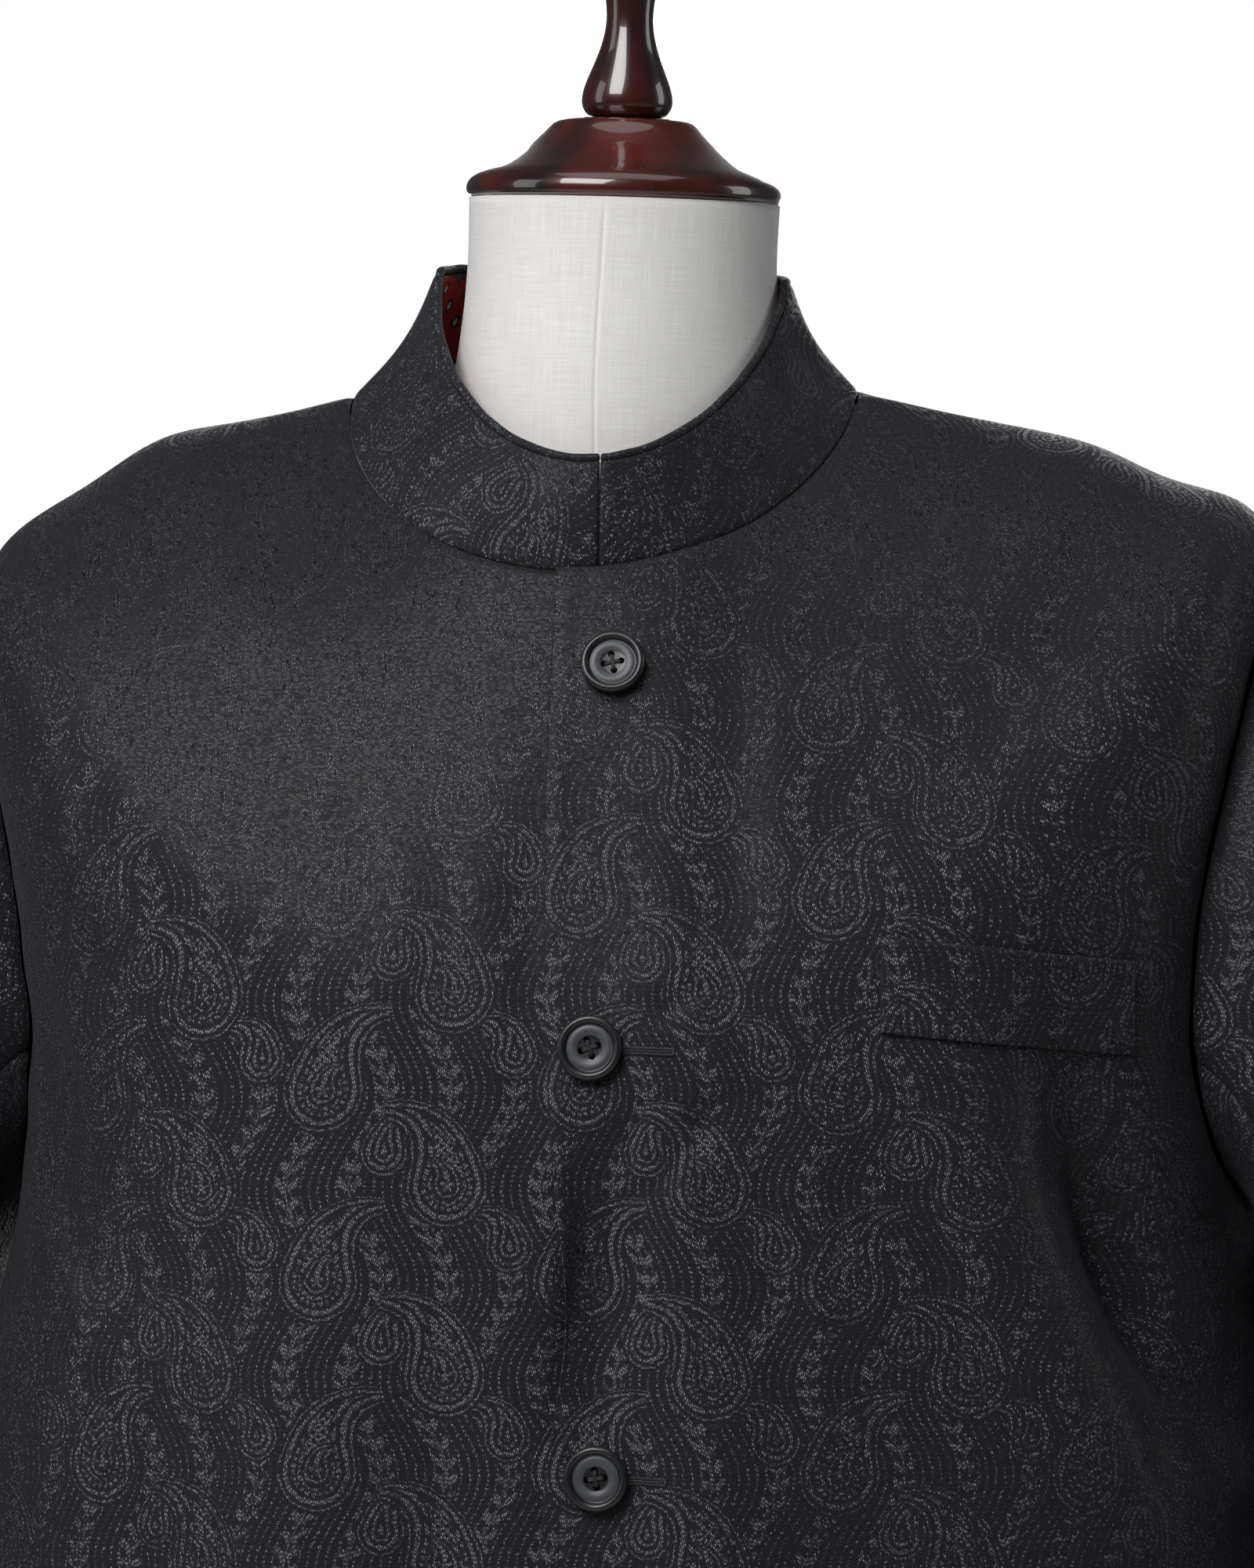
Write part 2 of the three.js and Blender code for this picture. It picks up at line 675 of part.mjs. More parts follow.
function collarTurn(column) {
  const from = openingTurn + openingHalfTurn;
  const span = 2 * Math.PI - 2 * openingHalfTurn;
  return from + (span * column) / collarColumns;
}

function collarWallPiece(name, fromUp, toUp, rows, nearDepth, farDepth, finish) {
  const outer = [];
  const inner = [];
  for (let r = 0; r <= rows; r += 1) {
    const up = fromUp + ((toUp - fromUp) * r) / rows;
    const outerRow = [];
    const innerRow = [];
    for (let c = 0; c <= collarColumns; c += 1) {
      const turn = collarTurn(c);
      const normal = collarNormal(turn, up);
      outerRow.push(collarPoint(turn, up).addScaledVector(normal, -nearDepth));
      innerRow.push(collarPoint(turn, up).addScaledVector(normal, -farDepth));
    }
    outer.push(outerRow);
    inner.push(innerRow);
  }
  addPiece(name, wallGeometry(outer, inner, false), finish);
}

const collarFootUp = 0.012;
const facingFootUp = 0.07;
collarWallPiece('collar_band', collarFootUp, 1, 3, 0, collarWall, clothFinish);
const facingDepth = collarWall + 1.4 * seamGap;
collarWallPiece('collar_facing', facingFootUp, 1, 3, facingDepth, facingDepth + facingWall, facingFinish);

// Piping that closes the top edge of the band and its facing
function collarPiping() {
  const sides = 6;
  const radius = pipingDiameter / 2;
  const rings = [];
  for (let c = 0; c <= collarColumns; c += 1) {
    const turn = collarTurn(c);
    const normal = collarNormal(turn, 1);
    const rise = collarPoint(turn, 1.02).sub(collarPoint(turn, 0.98)).normalize();
    const centre = collarPoint(turn, 1).addScaledVector(normal, -radius);
    centre.addScaledVector(rise, radius + seamGap);
    const ring = [];
    for (let k = 0; k < sides; k += 1) {
      const angle = (2 * Math.PI * (k + 0.5)) / sides;
      const point = centre.clone().addScaledVector(normal, radius * Math.cos(angle));
      ring.push(point.addScaledVector(rise, radius * Math.sin(angle)));
    }
    rings.push(ring);
  }
  addPiece('collar_piping', stackGeometry(rings), clothFinish);
}
collarPiping();

// The welt is made from the left front's own surface, moved out
function weltPiece() {
  const columns = 9;
  const rows = 4;
  const outer = [];
  const inner = [];
  for (let r = 0; r <= rows; r += 1) {
    const outerRow = [];
    const innerRow = [];
    for (let c = 0; c <= columns; c += 1) {
      const x = chestWelt.fromX + ((chestWelt.toX - chestWelt.fromX) * c) / columns;
      const foot = chestWelt.fromZ + ((chestWelt.toZ - chestWelt.fromZ) * c) / columns;
      const at = frontPlace(x, foot + (chestWelt.height * r) / rows);
      const turn = frontTurn(at, x);
      outerRow.push(panelPoint('front_left', at, turn, -weltClearance - chestWelt.wall));
      innerRow.push(panelPoint('front_left', at, turn, -weltClearance));
    }
    outer.push(outerRow);
    inner.push(innerRow);
  }
  addPiece('chest_welt', wallGeometry(outer, inner, false), clothFinish);
}
weltPiece();

// A turned solid from a profile of radius and height, standing on the X-Y plane
function turnedGeometry(profile, sides) {
  const outline = [new THREE.Vector2(0, profile[0].height)];
  for (const row of profile) outline.push(new THREE.Vector2(row.radius, row.height));
  outline.push(new THREE.Vector2(0, profile[profile.length - 1].height));
  const geometry = new THREE.LatheGeometry(outline, sides);
  geometry.rotateX(Math.PI / 2);
  return geometry;
}

// Buttons with a rolled rim round a shallow dish, each square to the cloth under it
const buttonRadius = buttonDiameter / 2;
const buttonProfile = [
  { radius: buttonRadius * 0.72, height: 0 },
  { radius: buttonRadius, height: buttonThickness * 0.45 },
  { radius: buttonRadius * 0.95, height: buttonThickness * 0.9 },
  { radius: buttonRadius * 0.86, height: buttonThickness },
  { radius: buttonRadius * 0.76, height: buttonThickness * 0.82 },
  { radius: buttonRadius * 0.7, height: buttonThickness * 0.62 },
];
const frontPoint = (x, z, depth) => {
  const at = frontPlace(x, z);
  return panelPoint('front_left', at, frontTurn(at, x), depth);
};
buttonPlaces.forEach((place, i) => {
  const reach = buttonRadius * 0.8;
  const across = frontPoint(place.x + reach, place.z, 0).sub(frontPoint(place.x - reach, place.z, 0));
  const upwards = frontPoint(place.x, place.z + reach, 0).sub(frontPoint(place.x, place.z - reach, 0));
  const normal = across.cross(upwards).normalize();
  const button = addPiece(`button_${i + 1}`, turnedGeometry(buttonProfile, 18), buttonFinish);
  button.position.copy(frontPoint(place.x, place.z, 0).addScaledVector(normal, buttonClearance));
  button.quaternion.setFromUnitVectors(new THREE.Vector3(0, 0, 1), normal);
});

// The dress form, whose neck ends in a seat tilted for the cap
function formPoint(at, turn) {
  const point = ringPoint(formRings, at, turn);
  const settle = 1 - THREE.MathUtils.smoothstep(at, 0, 45);
  point.z += settle * (point.y * Math.tan(capLean) - point.x * Math.tan(capRoll));
  return point;
}

function dressForm() {
  const rings = [];
  const end = formRings[formRings.length - 1].at;
  const rowPlaces = [];
  for (let r = 0; r < formNeckRows; r += 1) rowPlaces.push((formShoulderAt * r) / formNeckRows);
  for (let r = 0; r <= formTorsoRows; r += 1) {
    rowPlaces.push(formShoulderAt + ((end - formShoulderAt) * r) / formTorsoRows);
  }
  for (const at of rowPlaces) {
    const ring = [];
    for (let c = 0; c < formColumns; c += 1) ring.push(formPoint(at, (2 * Math.PI * c) / formColumns));
    rings.push(ring);
  }
  addPiece('dress_form', stackGeometry(rings), linenFinish);
}
dressForm();

// Cap and finial share the neck's tilt
const neckTop = new THREE.Group();
const capSeatHeight = shoulderPointHeight + formRings[0].sideZ;
const capHeight = capProfile[capProfile.length - 1].height;
neckTop.position.set(0, 0, capSeatHeight);
neckTop.rotation.set(capLean, capRoll, 0);
jacket.add(neckTop);
addPiece('neck_cap', turnedGeometry(capProfile, 28), woodFinish, neckTop).position.z = seamGap;
const finial = addPiece('finial', turnedGeometry(finialProfile, 20), woodFinish, neckTop);
finial.position.z = capHeight + 2 * seamGap;

// Pole and base
const formUnderside = shoulderPointHeight + formRings[formRings.length - 1].sideZ;
const baseHeight = baseProfile[baseProfile.length - 1].height;
const poleProfile = [
  { radius: poleRadius, height: baseHeight + seamGap },
  { radius: poleRadius, height: formUnderside - seamGap },
];
addPiece('stand_pole', turnedGeometry(poleProfile, 20), metalFinish);
addPiece('stand_base', turnedGeometry(baseProfile, 36), metalFinish);

export default jacket;
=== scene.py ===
# %% [markdown]
# # A bandhgala jacket on its dress form
# The jacket buttons up to a standing collar and stands on a limbless form with a turned wooden cap.
# The engineering model gives every piece its place and main shape, and this script dresses it:
# cloth with its finer creases, a woven paisley, stitches, buttons, linen, polished wood and light.

import math

import bpy
import numpy as np
from mathutils import Matrix, Vector


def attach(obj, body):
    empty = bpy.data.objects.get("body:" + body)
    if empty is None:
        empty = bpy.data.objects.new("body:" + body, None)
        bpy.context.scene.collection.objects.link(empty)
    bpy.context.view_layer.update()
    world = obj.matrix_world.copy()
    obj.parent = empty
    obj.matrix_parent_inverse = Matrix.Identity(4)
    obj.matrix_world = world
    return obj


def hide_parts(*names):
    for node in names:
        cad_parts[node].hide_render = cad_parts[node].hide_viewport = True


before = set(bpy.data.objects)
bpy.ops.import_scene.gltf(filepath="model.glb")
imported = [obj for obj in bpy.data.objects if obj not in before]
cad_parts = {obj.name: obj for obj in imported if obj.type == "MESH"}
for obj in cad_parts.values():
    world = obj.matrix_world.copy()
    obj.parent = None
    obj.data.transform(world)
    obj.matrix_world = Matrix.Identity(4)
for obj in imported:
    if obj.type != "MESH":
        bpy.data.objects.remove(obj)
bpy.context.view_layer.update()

# %% [markdown]
# ## Smooth tables
# A tailor works from measures at a few levels: neck, shoulder, chest, waist, hem. The same is done
# here: each row holds the measures of one ring round the body, and a natural cubic spline reads the
# table in between, so that no level shows as an edge. Lengths are in millimetres.

# %% Tables and their smooth reading
SHOULDER_POINT = 1500.0
METRE = 0.001


def table_of(names, rows):
    return {name: np.array([row[i] for row in rows], float) for i, name in enumerate(names.split())}


def spline_bends(at, value):
    count = len(at)
    matrix, right = np.eye(count), np.zeros(count)
    for i in range(1, count - 1):
        before, after = at[i] - at[i - 1], at[i + 1] - at[i]
        matrix[i, i - 1 : i + 2] = before, 2 * (before + after), after
        right[i] = 6 * ((value[i + 1] - value[i]) / after - (value[i] - value[i - 1]) / before)
    return np.linalg.solve(matrix, right)


def column_at(table, column, place):
    at, value = table["at"], table[column]
    bends = table.setdefault("bends of " + column, spline_bends(at, value))
    held = np.clip(place, at[0], at[-1])
    row = np.clip(np.searchsorted(at, held) - 1, 0, len(at) - 2)
    span = at[row + 1] - at[row]
    high = (held - at[row]) / span
    low = 1 - high
    pull = (low**3 - low) * bends[row] + (high**3 - high) * bends[row + 1]
    return low * value[row] + high * value[row + 1] + pull * span**2 / 6


def smoothstep(value, low, high):
    t = np.clip((value - low) / (high - low), 0, 1)
    return t * t * (3 - 2 * t)


def signed_power(value, power):
    return np.sign(value) * np.abs(value) ** power


def unit(vectors):
    return vectors / np.maximum(np.linalg.norm(vectors, axis=-1, keepdims=True), 1e-9)


RING_COLUMNS = "at side sideZ front frontZ back backZ square swell midX droop"
body_rings = table_of(RING_COLUMNS, [
    [0, 97, 1, 95, -68.5, 74, 12, 2, 1.1, -7.8, 0],
    [55, 150, -12, 113, -118, 92, -30, 2.15, 1.4, -2, -3],
    [88, 181, -20.5, 122, -149, 103, -60, 2.25, 1.6, 0, -4.5],
    [115, 206, -32, 128, -174, 112, -90, 2.3, 1.7, 0, 0],
    [160, 241, -49, 137, -215, 122, -140, 2.4, 2, 0, 12],
    [235, 233, -170, 143, -268, 130, -212, 2.5, 2, 0, 6],
    [310, 229, -303, 145, -338, 131, -312, 2.5, 2, 0, 0],
    [355, 240, -350, 146, -380, 130, -357, 2.5, 2, 0, 0],
    [440, 247, -440, 146, -455, 127, -443, 2.45, 2, 0, 0],
    [600, 254, -600, 150, -606, 134, -602, 2.4, 2, 0, 0],
    [740, 262, -740, 155, -740, 139, -740, 2.35, 2, 0, 0],
])
form_rings = table_of(RING_COLUMNS, [
    [0, 59, 74, 59, 74, 59, 74, 2, 1, 0, 0],
    [30, 58.8, 45, 68, 36, 58, 46, 2, 1, -1, 0],
    [60, 62, 17, 79, -6, 61, 28, 2, 1, -1.5, 0],
    [85, 70, 4, 83, -45, 66, 12, 2, 1, -1, 0],
    [105, 88, -3, 86, -68, 71, 0, 2, 1, -2, 0],
    [125, 114, -8, 94, -98, 78, -18, 2.05, 1.1, -2, 0],
    [155, 150, -15.3, 104, -132, 86, -42, 2.15, 1.3, -2, 0],
    [195, 184, -27.8, 114, -172, 98, -84, 2.3, 1.6, 0, -3.2],
    [225, 196, -52, 119, -205, 104, -125, 2.4, 2, 0, 4],
    [300, 192, -170, 124, -265, 108, -205, 2.4, 2, 0, 0],
    [375, 188, -300, 124, -330, 108, -306, 2.35, 2, 0, 0],
    [520, 170, -445, 110, -450, 94, -445, 2.25, 2, 0, 0],
    [680, 184, -610, 116, -610, 106, -610, 2.25, 2, 0, 0],
    [830, 190, -772, 120, -772, 110, -772, 2.25, 2, 0, 0],
])
leading_edge = table_of("at x", [
    [-740, -13], [-440, -13], [-385, -9], [-340, -3], [-290, -7], [-240, -11], [-70, -13],
])
sleeve_rings = table_of("at midX midY wide deep", [
    [335, 291, 2, 49, 77],
    [400, 298, 1, 45, 74],
    [490, 302, -6, 41, 69],
    [590, 303, -20, 35, 64],
    [685, 303, -38, 30, 61],
])
print("tables:", len(body_rings["at"]), "body rings,", len(form_rings["at"]), "form rings")

# %% [markdown]
# ## The surface of the body
# A ring is a rounded rectangle: a superellipse whose power says how square it is. Front and back
# have their own depth and height, because the front neck sits lower than the back neck.
# `turn` runs round the ring, 0 at the wearer's left side and -90 degrees at the middle of the front.


# %% Points and normals of a ringed surface
def ring_point(rings, at, turn):
    at, turn = np.broadcast_arrays(np.asarray(at, float), np.asarray(turn, float))
    across, along = np.cos(turn), np.sin(turn)
    is_front = along < 0
    square = column_at(rings, "square", at)
    side_z = column_at(rings, "sideZ", at)
    middle_z = np.where(is_front, column_at(rings, "frontZ", at), column_at(rings, "backZ", at))
    reach = np.where(is_front, column_at(rings, "front", at), column_at(rings, "back", at))
    fall = (side_z - middle_z) * np.abs(along) ** column_at(rings, "swell", at)
    droop = column_at(rings, "droop", at) * np.maximum(0, -across) ** 2
    x = column_at(rings, "midX", at) + column_at(rings, "side", at) * signed_power(across, 2 / square)
    y = reach * signed_power(along, 2 / square)
    return np.stack([x, y, SHOULDER_POINT + side_z - fall - droop], axis=-1)


def ring_normal(rings, at, turn):
    down = ring_point(rings, at + 1.5, turn) - ring_point(rings, at - 1.5, turn)
    around = ring_point(rings, at, turn + 0.02) - ring_point(rings, at, turn - 0.02)
    return unit(np.cross(down, around))


def front_turn(at, x):
    """The turn at which the ring passes x on the front."""
    share = (x - column_at(body_rings, "midX", at)) / column_at(body_rings, "side", at)
    return -np.arccos(signed_power(np.clip(share, -1, 1), column_at(body_rings, "square", at) / 2))


HEM_AT = 740.0


def front_place(x, z):
    """Where a point of the front that is x across and z high lies on the table, found by halving."""
    x, z = np.broadcast_arrays(np.asarray(x, float), np.asarray(z, float))
    low, high = np.zeros(x.shape), np.full(x.shape, HEM_AT)
    for _ in range(30):
        at = (low + high) / 2
        is_above = ring_point(body_rings, at, front_turn(at, x))[..., 2] - SHOULDER_POINT > z
        low, high = np.where(is_above, at, low), np.where(is_above, high, at)
    return (low + high) / 2


print("chest front at", ring_point(body_rings, 300, -math.pi / 2).round(1))

# %% [markdown]
# ## Folds
# Cloth that hangs from the shoulders and is pulled at its buttons breaks into soft troughs and
# ridges. A cloth simulation would invent its own folds, and the photographed ones are wanted, so
# each is listed: a bent line on the front or back, a height and a width. The first table
# is the engineering model's; the second has the finer creases, which only this model shows.

# %% Folds, listed one by one
FOLD_COLUMNS = "face from_x from_z bend_x bend_z to_x to_z lift width peak open only"
large_folds = [
    ["front", 166, -190, 166, -290, 248, -400, -15, 21, 0.64],
    ["front", 128, -210, 140, -330, 214, -440, 6, 24],
    ["front", 204, -240, 214, -300, 246, -350, 5, 15],
    ["front", 20, -258, 10, -335, -6, -398, -5, 18],
    ["front", -16, -250, -2, -335, -14, -392, 8, 17, 0.5, False, "front_left"],
    ["front", 44, -200, 50, -400, 60, -740, 7, 30, 0.5, True],
    ["front", 105, -330, 108, -500, 118, -740, -7, 30, 0.5, True],
    ["front", 190, -430, 186, -560, 184, -740, 8, 32, 0.5, True],
    ["front", -98, -190, -104, -420, -118, -740, 7, 34, 0.5, True],
    ["front", -46, -250, -52, -430, -62, -740, -5, 24, 0.5, True],
    ["front", -160, -300, -172, -480, -180, -740, -8, 30, 0.5, True],
    ["front", -224, -215, -206, -262, -182, -330, -5, 14],
    ["back", 150, -170, 160, -300, 236, -420, -11, 22],
    ["back", -140, -190, -160, -310, -232, -400, -9, 24],
    ["back", 70, -330, 78, -500, 92, -740, 8, 34, 0.5, True],
    ["back", -84, -380, -88, -520, -96, -740, 7, 32, 0.5, True],
    ["back", 150, -420, 154, -560, 160, -740, -7, 28, 0.5, True],
    ["back", -160, -440, -164, -580, -168, -740, -6, 30, 0.5, True],
]
fine_folds = [
    ["front", 172, -228, 184, -312, 236, -404, -9.5, 15, 0.6],
    ["front", 30, -256, 17, -270, 13, -292, -2.6, 6],
    ["front", 50, -260, 35, -280, 23, -302, -2.6, 7],
    ["front", 46, -218, 36, -225, 27, -233, -1.8, 6],
    ["front", 62, -252, 52, -262, 42, -282, -1.2, 7],
    ["front", 4, -272, 3, -330, -9, -392, -2.2, 5],
    ["front", -18, -140, -20, -260, -21, -360, -1.6, 9, 0.5, False, "front_right"],
    ["front", 4, -560, -4, -640, -10, -720, -3.4, 12],
    ["front", -10, -565, -12, -640, -14, -712, 3, 12, 0.5, False, "front_left"],
    ["front", 196, -300, 214, -352, 240, -420, 2.6, 8],
    ["front", 186, -330, 204, -380, 232, -450, -2.4, 9],
    ["front", -222, -215, -200, -240, -186, -282, -3, 8],
    ["front", -224, -262, -205, -290, -188, -335, -3.6, 10],
    ["front", -214, -300, -196, -330, -176, -372, 2.2, 9],
    ["front", -206, -180, -196, -198, -170, -226, -1.6, 8],
    ["front", 150, -470, 156, -580, 150, -735, -2.4, 14, 0.5, True],
    ["front", -212, -420, -206, -540, -210, -735, 2.6, 15, 0.5, True],
    ["front", -132, -330, -136, -470, -146, -640, -2, 13],
    ["front", 82, -240, 84, -330, 92, -430, 1.6, 13],
    ["front", -66, -120, -72, -210, -70, -300, 1.4, 16],
    ["front", 70, -90, 74, -150, 72, -220, 1.2, 18],
    ["back", 176, -240, 196, -300, 232, -360, -3, 10],
    ["back", -170, -230, -196, -290, -230, -350, -3, 10],
    ["back", 40, -60, 60, -110, 110, -140, -1.6, 12],
    ["back", -44, -62, -62, -112, -112, -146, -1.4, 12],
    ["back", 0, -300, 6, -330, 30, -350, -2, 11],
    ["back", 120, -300, 60, -318, 20, -312, -1.6, 10],
    ["back", 20, -420, 26, -560, 30, -735, -2.4, 15, 0.5, True],
    ["back", -34, -400, -36, -560, -44, -735, 2.2, 16, 0.5, True],
    ["back", 206, -440, 204, -560, 208, -735, 2.4, 15, 0.5, True],
]


def fold_lift(fold, x, z):
    named = dict(zip(FOLD_COLUMNS.split(), fold))
    pieces = 10
    nearest, share = np.full(x.shape, np.inf), np.zeros(x.shape)
    before = np.array([named["from_x"], named["from_z"]], float)
    for i in range(1, pieces + 1):
        s = i / pieces
        weights = (1 - s) ** 2, 2 * s * (1 - s), s**2
        step_to = np.array([
            sum(w * named[key + axis] for w, key in zip(weights, ("from_", "bend_", "to_")))
            for axis in "xz"
        ])
        run = step_to - before
        along = np.clip(((x - before[0]) * run[0] + (z - before[1]) * run[1]) / (run @ run), 0, 1)
        distance = np.hypot(x - before[0] - run[0] * along, z - before[1] - run[1] * along)
        share = np.where(distance < nearest, (i - 1 + along) / pieces, share)
        nearest = np.minimum(nearest, distance)
        before = step_to
    if named.get("open"):
        rise = np.minimum(share * 1.4, 1) / 2
    else:
        rise = share ** (math.log(0.5) / math.log(named.get("peak", 0.5)))
    taper = np.abs(np.sin(rise * math.pi)) ** 1.2
    return named["lift"] * taper * np.exp(-((nearest / (named["width"] * FOLD_SPREAD)) ** 2))


CLOTH_WALL = 1.6
UNDERLAP_X, OVERLAP_BLEND, OVERLAP_STEP = 27.0, 30.0, CLOTH_WALL + 1.2
UNDERLAP_SINK, UNDERLAP_BLEND = 1.2, 35.0
UNDER_ARM_LIFT, UNDER_ARM_AT, UNDER_ARM_TURN = 9.5, 322, 0.105
FOLD_SPREAD = 0.75


def cloth_waver(x, z):
    # Slow unevenness of cloth that has been worn and pressed
    slow = np.sin(x / 31 + 1.3 * np.sin(z / 74)) * np.sin(z / 47 + 0.8 * np.sin(x / 52 + 2))
    quick = np.sin(x / 12.5 + 1.1 * np.sin(z / 27)) * np.sin(z / 17 + np.sin(x / 23 + 1))
    return 0.7 * slow + 0.16 * quick


def cloth_lift(panel, x, z, is_front):
    lift = cloth_waver(x, z)
    for fold in large_folds + fine_folds:
        if len(fold) > 11 and fold[11] != panel:
            continue
        mask = is_front if fold[0] == "front" else ~is_front
        lift = lift + np.where(mask, fold_lift(fold, x, z), 0)
    if panel == "front_left":
        lift = lift + OVERLAP_STEP * (1 - smoothstep(x, UNDERLAP_X + 3, UNDERLAP_X + OVERLAP_BLEND))
    if panel == "front_right":
        start = UNDERLAP_X - 2 * UNDERLAP_BLEND
        lift = lift - UNDERLAP_SINK * smoothstep(x, start, start + UNDERLAP_BLEND)
    return lift


def panel_point(panel, at, turn, depth=0.0):
    point = ring_point(body_rings, at, turn)
    lift = cloth_lift(panel, point[..., 0], point[..., 2] - SHOULDER_POINT, np.sin(turn) < 0)
    faded = lift * smoothstep(np.abs(np.sin(turn)), 0.02, 0.3)
    is_overlap = (panel == "front_left") & (point[..., 0] < UNDERLAP_X + OVERLAP_BLEND)
    settled = np.where(is_overlap, lift, faded)
    under_arm = np.exp(-(((at - UNDER_ARM_AT) / 16) ** 2) - ((turn + UNDER_ARM_TURN) / UNDER_ARM_TURN) ** 2)
    settled = settled + UNDER_ARM_LIFT * under_arm
    return point + ring_normal(body_rings, at, turn) * (settled - depth)[..., None]


print(len(large_folds), "large folds and", len(fine_folds), "fine ones")

# %% [markdown]
# ## Where the cloth's grain runs
# A woven pattern follows the threads, not the view. Each panel gets its own flat map, as it lay on
# the cutting table: on every cell the warp should run up the body and the weft across it. No curved
# surface allows that exactly, so the map that comes nearest in all cells together is found by
# conjugate gradients, which need only numpy.

# %% A flat map for a grid of cloth
UV_UNIT = 0.01


def normalised_grid_normals(grid, outward):
    normal = unit(np.cross(np.gradient(grid, axis=1), np.gradient(grid, axis=0)))
    return normal * np.sign(np.sum(normal * outward, axis=-1, keepdims=True))


def grain_map(grid, outward, backwards, origin, rounds=260):
    """The (u, v) in millimetres of each grid point. backwards is where the top of the cloth leans."""
    normal = normalised_grid_normals(grid, outward)
    up = np.array([0.0, 0.0, 1.0]) + normal[..., 2:3] * np.asarray(backwards, float)
    weft = unit(np.cross(up, normal))
    warp = np.cross(normal, weft)
    goals, weights = [], []
    for axis in (1, 0):
        step = np.diff(grid, axis=axis)
        take = [slice(None), slice(None)]
        take[axis] = slice(1, None)
        drop = [slice(None), slice(None)]
        drop[axis] = slice(None, -1)
        ends = [(d[tuple(take)] + d[tuple(drop)]) / 2 for d in (weft, warp)]
        goals.append(np.stack([np.sum(step * d, axis=-1) for d in ends], axis=-1))
        weights.append(1 / np.maximum(np.linalg.norm(step, axis=-1, keepdims=True), 0.3))

    def gathered(across, down):
        total = np.zeros(grid.shape[:2] + (2,))
        total[:, 1:] += across
        total[:, :-1] -= across
        total[1:] += down
        total[:-1] -= down
        return total

    def pulled(values):
        return gathered(weights[0] * np.diff(values, axis=1), weights[1] * np.diff(values, axis=0))

    start = np.zeros(grid.shape[:2] + (2,))
    start[1:, 0] = np.cumsum(goals[1][:, 0], axis=0)
    start[:, 1:] = start[:, :1] + np.cumsum(goals[0], axis=1)
    solution = start
    diagonal = np.zeros(grid.shape[:2] + (1,))
    diagonal[:, 1:] += weights[0]
    diagonal[:, :-1] += weights[0]
    diagonal[1:] += weights[1]
    diagonal[:-1] += weights[1]
    rest = gathered(weights[0] * goals[0], weights[1] * goals[1]) - pulled(solution)
    scaled = rest / diagonal
    heading = scaled
    power = np.sum(rest * scaled)
    for _ in range(rounds):
        moved = pulled(heading)
        size = power / max(np.sum(heading * moved), 1e-30)
        solution = solution + size * heading
        rest = rest - size * moved
        scaled = rest / diagonal
        next_power = np.sum(rest * scaled)
        heading = scaled + next_power / max(power, 1e-30) * heading
        power = next_power
    row, column, u, v = origin
    return solution - solution[row, column] + np.array([u, v])


print("flat map: 1 UV unit is", 1 / UV_UNIT, "mm of cloth")

# %% [markdown]
# ## From grids to cloth
# Each piece of cloth is a thin shell: an outer grid, an inner grid and rims that join them. Writing
# the mesh from arrays keeps rows and columns in order, so the flat map and the folds stay exact.
# The free edges are rounded, because turned cloth has no sharp corner, and along a sewn seam the
# cloth dips, because the thread draws it in.


# %% A shell of cloth from two grids
def add_object(name, data):
    made = bpy.data.objects.new(name, data)
    bpy.context.scene.collection.objects.link(made)
    return made


def mesh_object(name, points, faces, materials, uv=None, face_materials=None, smooth=True):
    mesh = bpy.data.meshes.new(name)
    mesh.from_pydata((np.asarray(points) * METRE).tolist(), [], [list(map(int, f)) for f in faces])
    for material in materials:
        mesh.materials.append(material)
    if face_materials is not None:
        mesh.polygons.foreach_set("material_index", np.asarray(face_materials, np.int32))
    mesh.polygons.foreach_set("use_smooth", np.full(len(mesh.polygons), smooth))
    if uv is not None:
        corner = np.zeros(len(mesh.loops), np.int32)
        mesh.loops.foreach_get("vertex_index", corner)
        layer = mesh.uv_layers.new(name="cloth_map")
        layer.data.foreach_set("uv", (np.asarray(uv)[corner] * UV_UNIT).astype(np.float32).ravel())
    mesh.validate()
    mesh.update()
    return add_object(name, mesh)


def enclosed_volume(points, faces):
    points = np.asarray(points, float)
    faces = np.asarray(faces)
    total = 0.0
    for i in range(1, faces.shape[1] - 1):
        a, b, c = points[faces[:, 0]], points[faces[:, i]], points[faces[:, i + 1]]
        total += np.sum(a * np.cross(b, c)) / 6
    return total


def tube_quads(rows, columns):
    """The point numbers of a grid that closes on itself, and its faces."""
    index = np.arange(rows * columns).reshape(rows, columns)
    ring = np.concatenate([index, index[:, :1]], axis=1)
    quads = np.stack([ring[:-1, :-1], ring[1:, :-1], ring[1:, 1:], ring[:-1, 1:]], -1)
    return index, quads.reshape(-1, 4)


def shell_faces(rows, columns):
    """Faces of a shell, and how many of them are the outer ones."""
    index = np.arange(rows * columns).reshape(rows, columns)
    inner = index + rows * columns

    def strip(a, b, c, d):
        return np.stack([a.ravel(), b.ravel(), c.ravel(), d.ravel()], axis=1)

    sides = [
        strip(index[:-1, :-1], index[1:, :-1], index[1:, 1:], index[:-1, 1:]),
        strip(index[:1, :-1], index[:1, 1:], inner[:1, 1:], inner[:1, :-1]),
        strip(index[-1:, 1:], index[-1:, :-1], inner[-1:, :-1], inner[-1:, 1:]),
        strip(index[1:, :1], index[:-1, :1], inner[:-1, :1], inner[1:, :1]),
        strip(index[:-1, -1:], index[1:, -1:], inner[1:, -1:], inner[:-1, -1:]),
    ]
    outer_count = sum(len(side) for side in sides)
    sides.append(strip(inner[:-1, :-1], inner[:-1, 1:], inner[1:, 1:], inner[1:, :-1]))
    return np.concatenate(sides), outer_count


